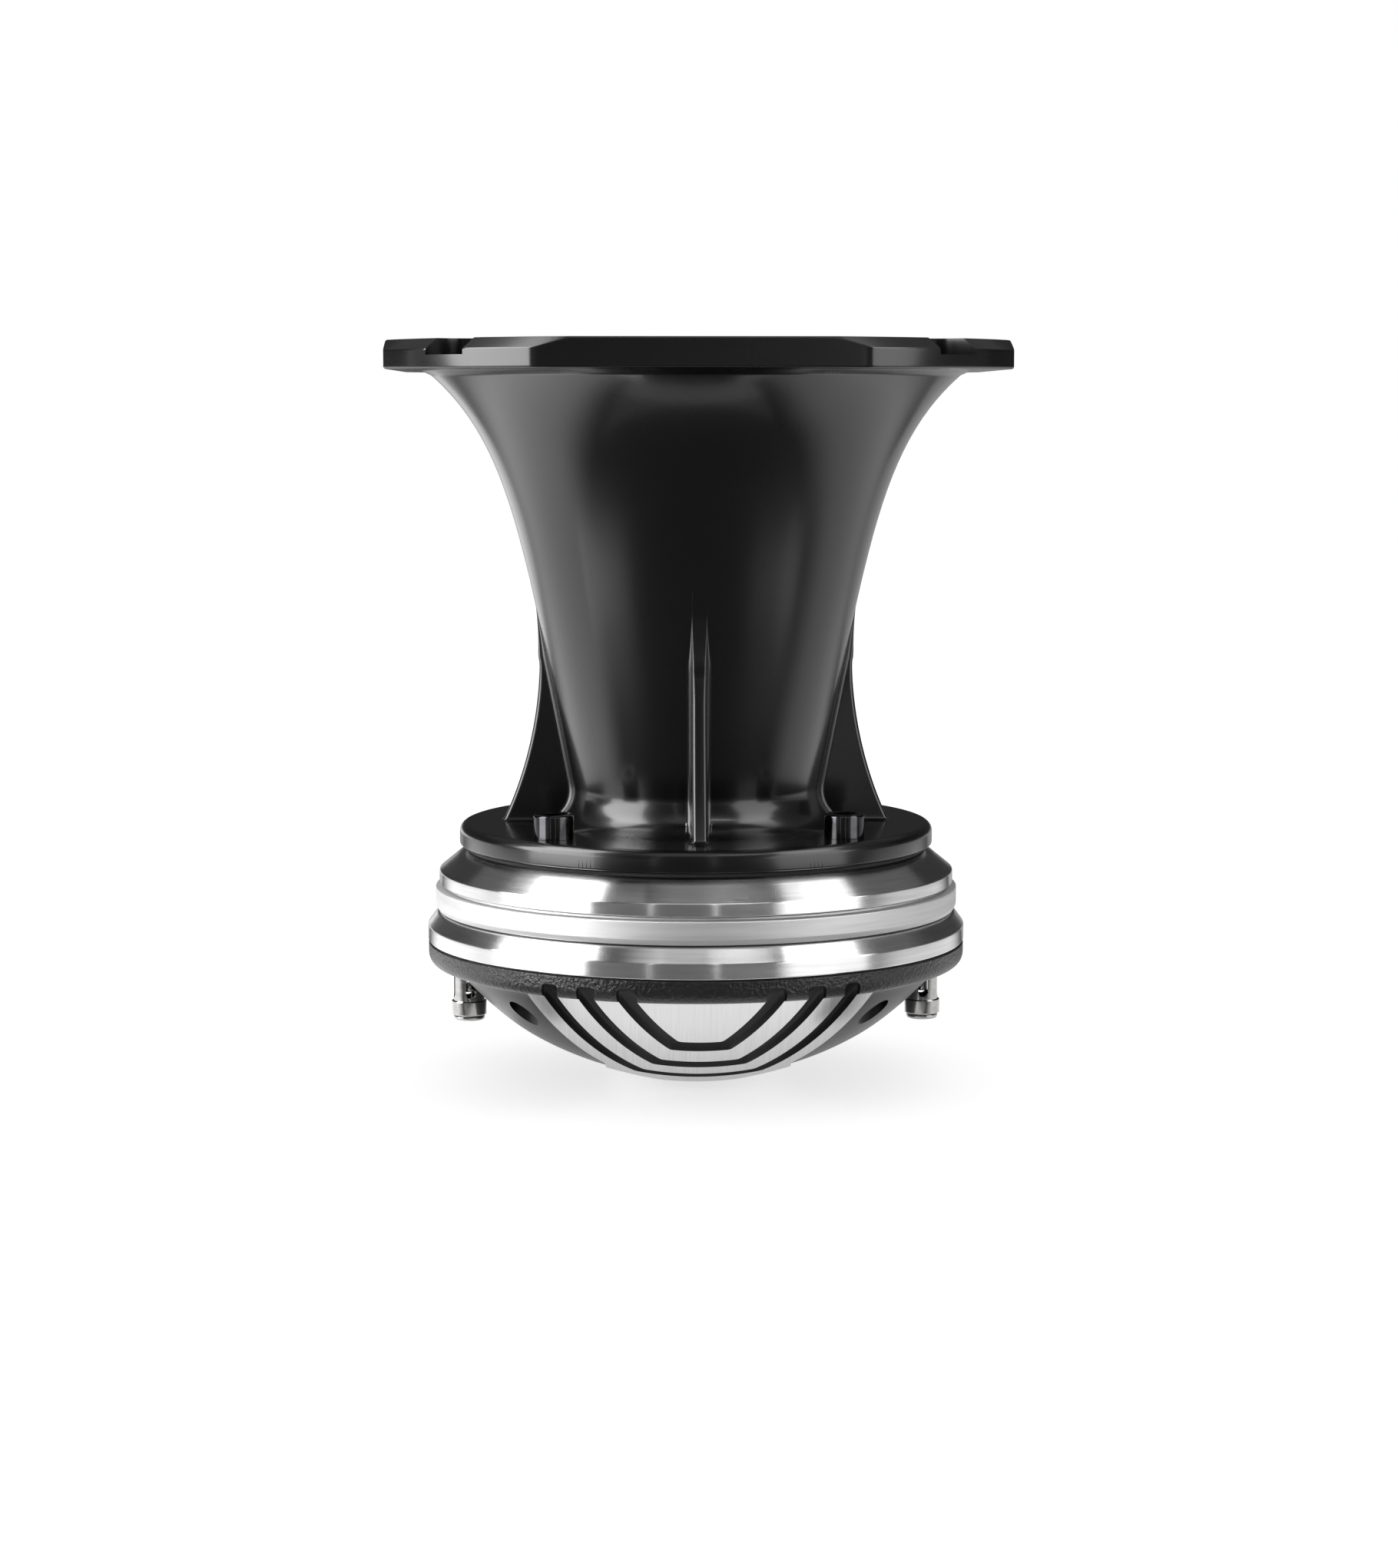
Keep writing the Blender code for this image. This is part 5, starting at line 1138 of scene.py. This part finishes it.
def slot_cutter(turn):
    """An upright slot across the sleeve, round at its foot and open at the top."""
    centre = Z_SLEEVE + SLOT_FLOOR + SLOT_HALF
    outline = arc((0.0, centre), SLOT_HALF, 180.0, 360.0, 14)
    outline += [(SLOT_HALF, Z_SLEEVE_TOP + 0.002), (-SLOT_HALF, Z_SLEEVE_TOP + 0.002)]
    cutter = prism("slot", outline, -0.006, 0.006)
    upright = Matrix.Rotation(math.radians(90), 4, "X")
    cutter.data.transform(Matrix.Rotation(math.radians(turn), 4, "Z") @ upright)
    return cutter


def crisp(piece, width):
    """Break the sharp edges that cutting leaves, and shade the rest smooth."""
    bevel = piece.modifiers.new("break", "BEVEL")
    bevel.limit_method = "ANGLE"
    bevel.angle_limit = math.radians(50)
    bevel.width = width
    bevel.segments = 2
    settle(piece)
    piece.data.set_sharp_from_angle(angle=math.radians(40))
    return even_shading(piece)


def make_sleeve(name, turn):
    guide = POST_RADIUS + FIT
    section = eased([
        (SLEEVE_RADIUS, Z_SLEEVE_TOP), (SLEEVE_RADIUS, Z_SLEEVE + COLLAR_HEIGHT),
        (COLLAR_RADIUS, Z_SLEEVE + COLLAR_HEIGHT), (COLLAR_RADIUS, Z_SLEEVE), (SLEEVE_BORE_RADIUS, Z_SLEEVE),
        (SLEEVE_BORE_RADIUS, LEDGE_TOP - LEDGE_HEIGHT), (guide, LEDGE_TOP - LEDGE_HEIGHT),
        (guide, LEDGE_TOP),
        (SLEEVE_BORE_RADIUS, LEDGE_TOP), (SLEEVE_BORE_RADIUS, Z_SLEEVE_TOP)],
        [0.0003, 0.0001, 0.0004, 0.0003, 0.0001, 0, 0, 0, 0, 0.0002], 4)
    sleeve = lathe(name, section, 64, BRIGHT_NICKEL)
    for across in (0, 90):
        cut_away(sleeve, slot_cutter(turn + across))
    return crisp(sleeve, 0.00012)


def make_end_plug(name):
    rim = SLEEVE_RADIUS
    low = END_PLUG_TOP - END_PLUG_HEIGHT
    shank = SLEEVE_BORE_RADIUS - FIT
    section = eased([(0.0, END_PLUG_TOP + END_PLUG_SHANK), (shank, END_PLUG_TOP + END_PLUG_SHANK),
                     (shank, END_PLUG_TOP), (rim, END_PLUG_TOP), (rim, low + 0.0003), (rim * 0.8, low),
                     (0.0, low)], [0, 0.0002, 0, 0.0002, 0.0004, 0.0006, 0], 4, closed=False)
    return even_shading(lathe(name, section, 48, BRIGHT_NICKEL, closed=False))


def make_post(name):
    section = eased([(0.0, POST_TOP), (POST_RADIUS, POST_TOP), (POST_RADIUS, SHOULDER_TOP),
                     (SHOULDER_RADIUS, SHOULDER_TOP), (SHOULDER_RADIUS, SHOULDER), (POST_RADIUS, SHOULDER),
                     (POST_RADIUS, POST_FOOT), (0.0, POST_FOOT)],
                    [0, 0.0003, 0, 0.0001, 0.0001, 0, 0.0003, 0], 3, closed=False)
    post = lathe(name, section, 40, BRIGHT_NICKEL, closed=False)
    hole = prism("hole", arc((0.0, CROSS_HOLE_HEIGHT), CROSS_HOLE_RADIUS, 0.0, 345.0, 23), -0.004, 0.004)
    hole.data.transform(Matrix.Rotation(math.radians(90), 4, "X"))
    return crisp(cut_away(post, hole), 0.00006)


def make_bush(name):
    bore = POST_RADIUS + FIT
    section = eased([(BUSH_FLANGE_RADIUS, BUSH_TOP), (BUSH_FLANGE_RADIUS, BUSH_SEAT),
                     (BUSH_RADIUS, BUSH_SEAT),
                     (BUSH_RADIUS, BUSH_FOOT), (bore, BUSH_FOOT), (bore, BUSH_TOP)], 0.00012, 2)
    return even_shading(lathe(name, section, 40, PLUG_PLASTIC))


def coil_spring_tree():
    """A round wire wound on a cylinder that stands on its lower end."""
    tree = bpy.data.node_groups.new("coil_spring", "GeometryNodeTree")
    tree.interface.new_socket("Geometry", in_out="INPUT", socket_type="NodeSocketGeometry")
    for label, kind in (("Turns", "NodeSocketFloat"), ("Coil radius", "NodeSocketFloat"),
                        ("Wire radius", "NodeSocketFloat"), ("Height", "NodeSocketFloat"),
                        ("Material", "NodeSocketMaterial")):
        tree.interface.new_socket(label, in_out="INPUT", socket_type=kind)
    tree.interface.new_socket("Geometry", in_out="OUTPUT", socket_type="NodeSocketGeometry")
    given = tree.nodes.new("NodeGroupInput")
    out = tree.nodes.new("NodeGroupOutput")
    link = tree.links.new
    path = tree.nodes.new("GeometryNodeCurveSpiral")
    path.inputs["Resolution"].default_value = 40
    link(given.outputs["Turns"], path.inputs["Rotations"])
    link(given.outputs["Coil radius"], path.inputs["Start Radius"])
    link(given.outputs["Coil radius"], path.inputs["End Radius"])
    link(given.outputs["Height"], path.inputs["Height"])
    wire = tree.nodes.new("GeometryNodeCurvePrimitiveCircle")
    wire.inputs["Resolution"].default_value = 14
    link(given.outputs["Wire radius"], wire.inputs["Radius"])
    wound = tree.nodes.new("GeometryNodeCurveToMesh")
    wound.inputs["Fill Caps"].default_value = True
    link(path.outputs[0], wound.inputs["Curve"])
    link(wire.outputs[0], wound.inputs["Profile Curve"])
    real = tree.nodes.new("GeometryNodeRealizeInstances")
    link(wound.outputs[0], real.inputs[0])
    coat = tree.nodes.new("GeometryNodeSetMaterial")
    link(real.outputs[0], coat.inputs["Geometry"])
    link(given.outputs["Material"], coat.inputs["Material"])
    link(coat.outputs[0], out.inputs[0])
    return tree


COIL_SPRING = coil_spring_tree()


def make_spring(name, place):
    spring = new_piece(name, [], [])
    change = spring.modifiers.new("wind", "NODES")
    change.node_group = COIL_SPRING
    set_inputs(change, Turns=SPRING_TURNS, Coil_radius=SPRING_RADIUS, Wire_radius=SPRING_WIRE,
               Height=SPRING_HIGH - SPRING_LOW, Material=SPRING_STEEL)
    settle(spring)
    weld(spring, 0.00001)
    spring.data.transform(Matrix.Translation((place, 0.0, SPRING_LOW)))
    spring.data.shade_smooth()
    return spring


for side, place, sleeve_turn in (("left", -TERMINAL_CIRCLE, 9.0), ("right", TERMINAL_CIRCLE, 0.0)):
    shift = Matrix.Translation((place, 0.0, 0.0))
    sliding = "terminal_" + side
    sleeve = make_sleeve("sleeve_" + side, sleeve_turn)
    end_plug = make_end_plug("sleeve_plug_" + side)
    post = make_post("post_" + side)
    bush = make_bush("bush_" + side)
    for piece in (sleeve, end_plug, post, bush):
        piece.data.transform(shift)
    dress(sleeve, sliding, "bright_nickel", "terminal_sleeve_" + side)
    dress(end_plug, sliding, "bright_nickel", "terminal_plug_" + side)
    dress(post, BODY, "bright_nickel", "terminal_post_" + side)
    dress(bush, BODY, "black_plastic", "terminal_bush_" + side)
    spring = make_spring("press_spring_" + side, place)
    dress(spring, BODY, "satin_metal", "terminal_spring_" + side)
    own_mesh(spring)


# Pieces inside the driver
# Magnet, dome, coil, surround, clamp ring, felt, seals and wiring are shut in by the cover and the
# rings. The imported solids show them, in finishes of their own.

MAGNET_COAT, _ = grained("magnet_coat", (0.09, 0.09, 0.095), (0.14, 0.14, 0.145), (0.35, 0.5), 0.5,
                         0.0004, 0.01, 0.00005, 0.4)
DOME_METAL = turned_finish("rolled_titanium", (0.42, 0.41, 0.39), (0.56, 0.55, 0.52), (0.24, 0.36), 0.2,
                           0.0003, 0.000004, 0.3)
AMBER_FILM, film_shader = grained("amber_film", (0.4, 0.19, 0.04), (0.52, 0.27, 0.07), (0.25, 0.4), 0.0,
                                  0.0005, 0.006, 0.00001, 0.3)
COPPER_WIRE = turned_finish("wound_copper_wire", (0.62, 0.27, 0.13), (0.78, 0.37, 0.2), (0.25, 0.4), 0.0,
                            0.0003, 0.00003, 0.8)
GREY_FELT, _ = grained("grey_felt", (0.14, 0.14, 0.14), (0.24, 0.24, 0.24), (0.9, 1.0), 0.0,
                       0.0003, 0.002, 0.0006, 1.0)

for finish, nodes in (
        (MAGNET_COAT, ("magnet_ring",)), (DOME_METAL, ("diaphragm_dome",)),
        (AMBER_FILM, ("coil_former", "surround")), (COPPER_WIRE, ("voice_coil",)),
        (SATIN_METAL, ("diaphragm_ring",)), (GREY_FELT, ("damping_pad",)), (GASKET_FIBRE, ("cover_gasket",)),
        (BLACK_STEEL, ("diaphragm_screw_1", "diaphragm_screw_2", "diaphragm_screw_3", "diaphragm_screw_4")),
        (BRIGHT_NICKEL, ("solder_tag_left", "solder_tag_right", "terminal_nut_left", "terminal_nut_right")),
        (PLUG_PLASTIC, ("lead_left", "lead_right"))):
    for node in nodes:
        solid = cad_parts[node]
        solid.data.materials.clear()
        solid.data.materials.append(finish)


# Studio
# A pale floor, a grey tent all round and two tall soft boxes that lean in from the sides.
# The camera stands at the photograph's height and angle.

TENT_RADIUS = 2.6
BOX_DISTANCE = 1.7
EYE_HEIGHT = 0.1
CARD_HEIGHT = 0.003
FLOOR_LIFT = 0.7
SKY_LIGHT = 0.5


def glow(name, strength=None):
    """A plain light-giving surface, or one that takes its strength from the mesh's level value."""
    material = bpy.data.materials.new(name)
    material.use_nodes = True
    tree = material.node_tree
    tree.nodes.clear()
    lamp = tree.nodes.new("ShaderNodeEmission")
    if strength is None:
        level = tree.nodes.new("ShaderNodeAttribute")
        level.attribute_name = "level"
        tree.links.new(level.outputs["Fac"], lamp.inputs["Strength"])
    else:
        lamp.inputs["Strength"].default_value = strength
    out = tree.nodes.new("ShaderNodeOutputMaterial")
    tree.links.new(lamp.outputs[0], out.inputs["Surface"])
    return material


def toward(azimuth, elevation, distance):
    """A place seen from the object at an angle from the front and above the floor; left is negative."""
    turn, rise = math.radians(azimuth), math.radians(elevation)
    if rise < 0:
        distance = min(distance, (EYE_HEIGHT - CARD_HEIGHT) / math.sin(-rise))
    return (distance * math.cos(rise) * math.sin(turn), -distance * math.cos(rise) * math.cos(turn),
            EYE_HEIGHT + distance * math.sin(rise))


def soft_box(name, side, soft_edge, rows):
    """A curved soft box seen from the object, of rows of angles and light from its foot up.

    A row is the near edge's turn from the front and rise above the floor, the far edge's turn
    and rise, and the level of light. soft_edge is the share of the width that fades at an edge.
    """
    shares = np.linspace(0.0, 1.0, 33)
    fade = np.clip(np.minimum(shares, 1.0 - shares) / soft_edge, 0.0, 1.0)
    points, levels = [], []
    for near_turn, near_rise, far_turn, far_rise, level in rows:
        turns = side * (near_turn + (far_turn - near_turn) * shares)
        rises = near_rise + (far_rise - near_rise) * shares
        points += [toward(turn, rise, BOX_DISTANCE) for turn, rise in zip(turns, rises)]
        levels += list(level * fade * fade * (3 - 2 * fade))
    faces = grid_faces(len(rows), len(shares), close_columns=False)
    box = new_piece(name, points, faces, glow(name + "_light"))
    box.data.attributes.new("level", "FLOAT", "POINT").data.foreach_set("value", levels)
    return only_reflected(box)


def only_reflected(item):
    """Stage an item that shows in glossy surfaces alone."""
    item.visible_camera = False
    item.visible_diffuse = False
    item.visible_shadow = False
    return item


soft_box("left_soft_box", -1, 0.04, [
    (45, -17, 82, -17, 2.2), (46, -12, 84, -12, 7.0), (46, 0, 86, 0, 9.0), (48, 12, 98, 12, 9.0),
    (53, 30, 100, 25, 9.0), (66, 57, 100, 42, 11.0), (95, 68, 130, 50, 5.5), (124, 70, 160, 55, 3.0)])
soft_box("right_soft_box", 1, 0.08, [
    (34, -17, 72, -17, 1.4), (33, -12, 72, -12, 3.0), (30, 0, 74, 0, 3.0), (33, 12, 82, 12, 3.2),
    (40, 30, 78, 25, 3.6), (52, 57, 85, 42, 5.0), (90, 68, 125, 50, 1.4), (124, 70, 160, 55, 0.9)])
soft_box("left_floor_card", -1, 0.3, [
    (48, -60, 150, -60, 1.6), (54, -34, 150, -34, 1.9), (62, -20, 150, -20, 1.8), (74, -9, 150, -9, 1.3)])
soft_box("right_floor_card", 1, 0.3, [
    (40, -60, 145, -60, 1.0), (46, -34, 145, -34, 1.2), (62, -20, 145, -20, 1.1), (78, -9, 145, -9, 0.8)])
for strip_name, strip_turn in (("left_strip", -20.0), ("right_strip", 7.0)):
    soft_box(strip_name, 1, 0.4, [(strip_turn - 0.8, rise, strip_turn + 0.8, rise, 3.2)
                                  for rise in (-12, -6, 0, 30, 60, 80)])
soft_box("front_top_card", 1, 0.2, [(-40, 30, 40, 30, 0.2), (-50, 50, 50, 50, 0.8), (-60, 80, 60, 80, 0.8)])
soft_box("neck_card", 1, 0.3, [(2, 38, 50, 38, 0.5), (2, 46, 50, 46, 8.0), (2, 60, 50, 60, 8.0)])
soft_box("left_back_card", -1, 0.2, [(99, rise, 176, rise, 1.3) for rise in (-8, -4, 0, 6)])
soft_box("back_card", 1, 0.01, [(110, 0, 250, 0, 0.04), (110, 12, 250, 12, 0.04), (110, 26, 250, 26, 0.04)])
front_corners = [(-0.3, -1.4, 0.002), (0.25, -1.4, 0.002), (0.25, -0.1, 0.002), (-0.3, -0.1, 0.002)]
front_card = new_piece("front_card", front_corners, [(0, 1, 2, 3)], glow("front_card_cloth", 0.14))
only_reflected(front_card)
floor_cloth = lathe("floor_cloth", [(2.4, 0.001), (0.1, 0.001)], 48, glow("floor_cloth_light", 0.5),
                    closed=False)
only_reflected(floor_cloth)

bpy.ops.mesh.primitive_uv_sphere_add(segments=32, ring_count=16, radius=TENT_RADIUS)
tent = bpy.context.object
tent.name = "tent"
tent.data.materials.append(glow("tent_cloth", 0.14))
only_reflected(tent)

bpy.ops.mesh.primitive_plane_add(size=2 * TENT_RADIUS, location=(0.0, 0.0, 0.0))
floor = bpy.context.object
floor.name = "floor"


def seen_directly(tree):
    """One for what the camera sees, straight, in a mirror or through glass, and nought for other light."""
    path = tree.nodes.new("ShaderNodeLightPath")
    seen = maths(tree, "ADD", path.outputs["Is Camera Ray"], path.outputs["Is Glossy Ray"])
    seen = maths(tree, "MINIMUM", maths(tree, "ADD", seen, path.outputs["Is Transmission Ray"]), 1.0)
    return maths(tree, "SUBTRACT", seen, maths(tree, "MINIMUM", path.outputs["Diffuse Depth"], seen))


floor_finish, floor_tree, floor_shader = new_material("pale_floor", (0.85, 0.85, 0.85), 1.0, 0.0)
floor_shader.inputs["Specular IOR Level"].default_value = 0.0
floor_shader.inputs["Emission Color"].default_value = (1.0, 1.0, 1.0, 1.0)
floor_lift = maths(floor_tree, "MULTIPLY", seen_directly(floor_tree), FLOOR_LIFT)
floor_tree.links.new(floor_lift, floor_shader.inputs["Emission Strength"])
floor.data.materials.append(floor_finish)

world = bpy.data.worlds.new("studio")
bpy.context.scene.world = world
world.use_nodes = True
backdrop = world.node_tree.nodes["Background"]
backdrop.inputs["Color"].default_value = (1.0, 1.0, 1.0, 1.0)
sky = maths(world.node_tree, "MAXIMUM", seen_directly(world.node_tree), SKY_LIGHT)
world.node_tree.links.new(sky, backdrop.inputs["Strength"])

camera = bpy.data.objects.new("camera", bpy.data.cameras.new("camera"))
bpy.context.scene.collection.objects.link(camera)
camera.data.lens = 75.8
camera.data.sensor_width = 36.0
camera.location = (-0.0184, -0.8458, 0.1735)
camera.rotation_euler = (math.radians(83.44), 0.0, math.radians(-1.3))
bpy.context.scene.camera = camera
bpy.context.scene.view_settings.view_transform = "Standard"
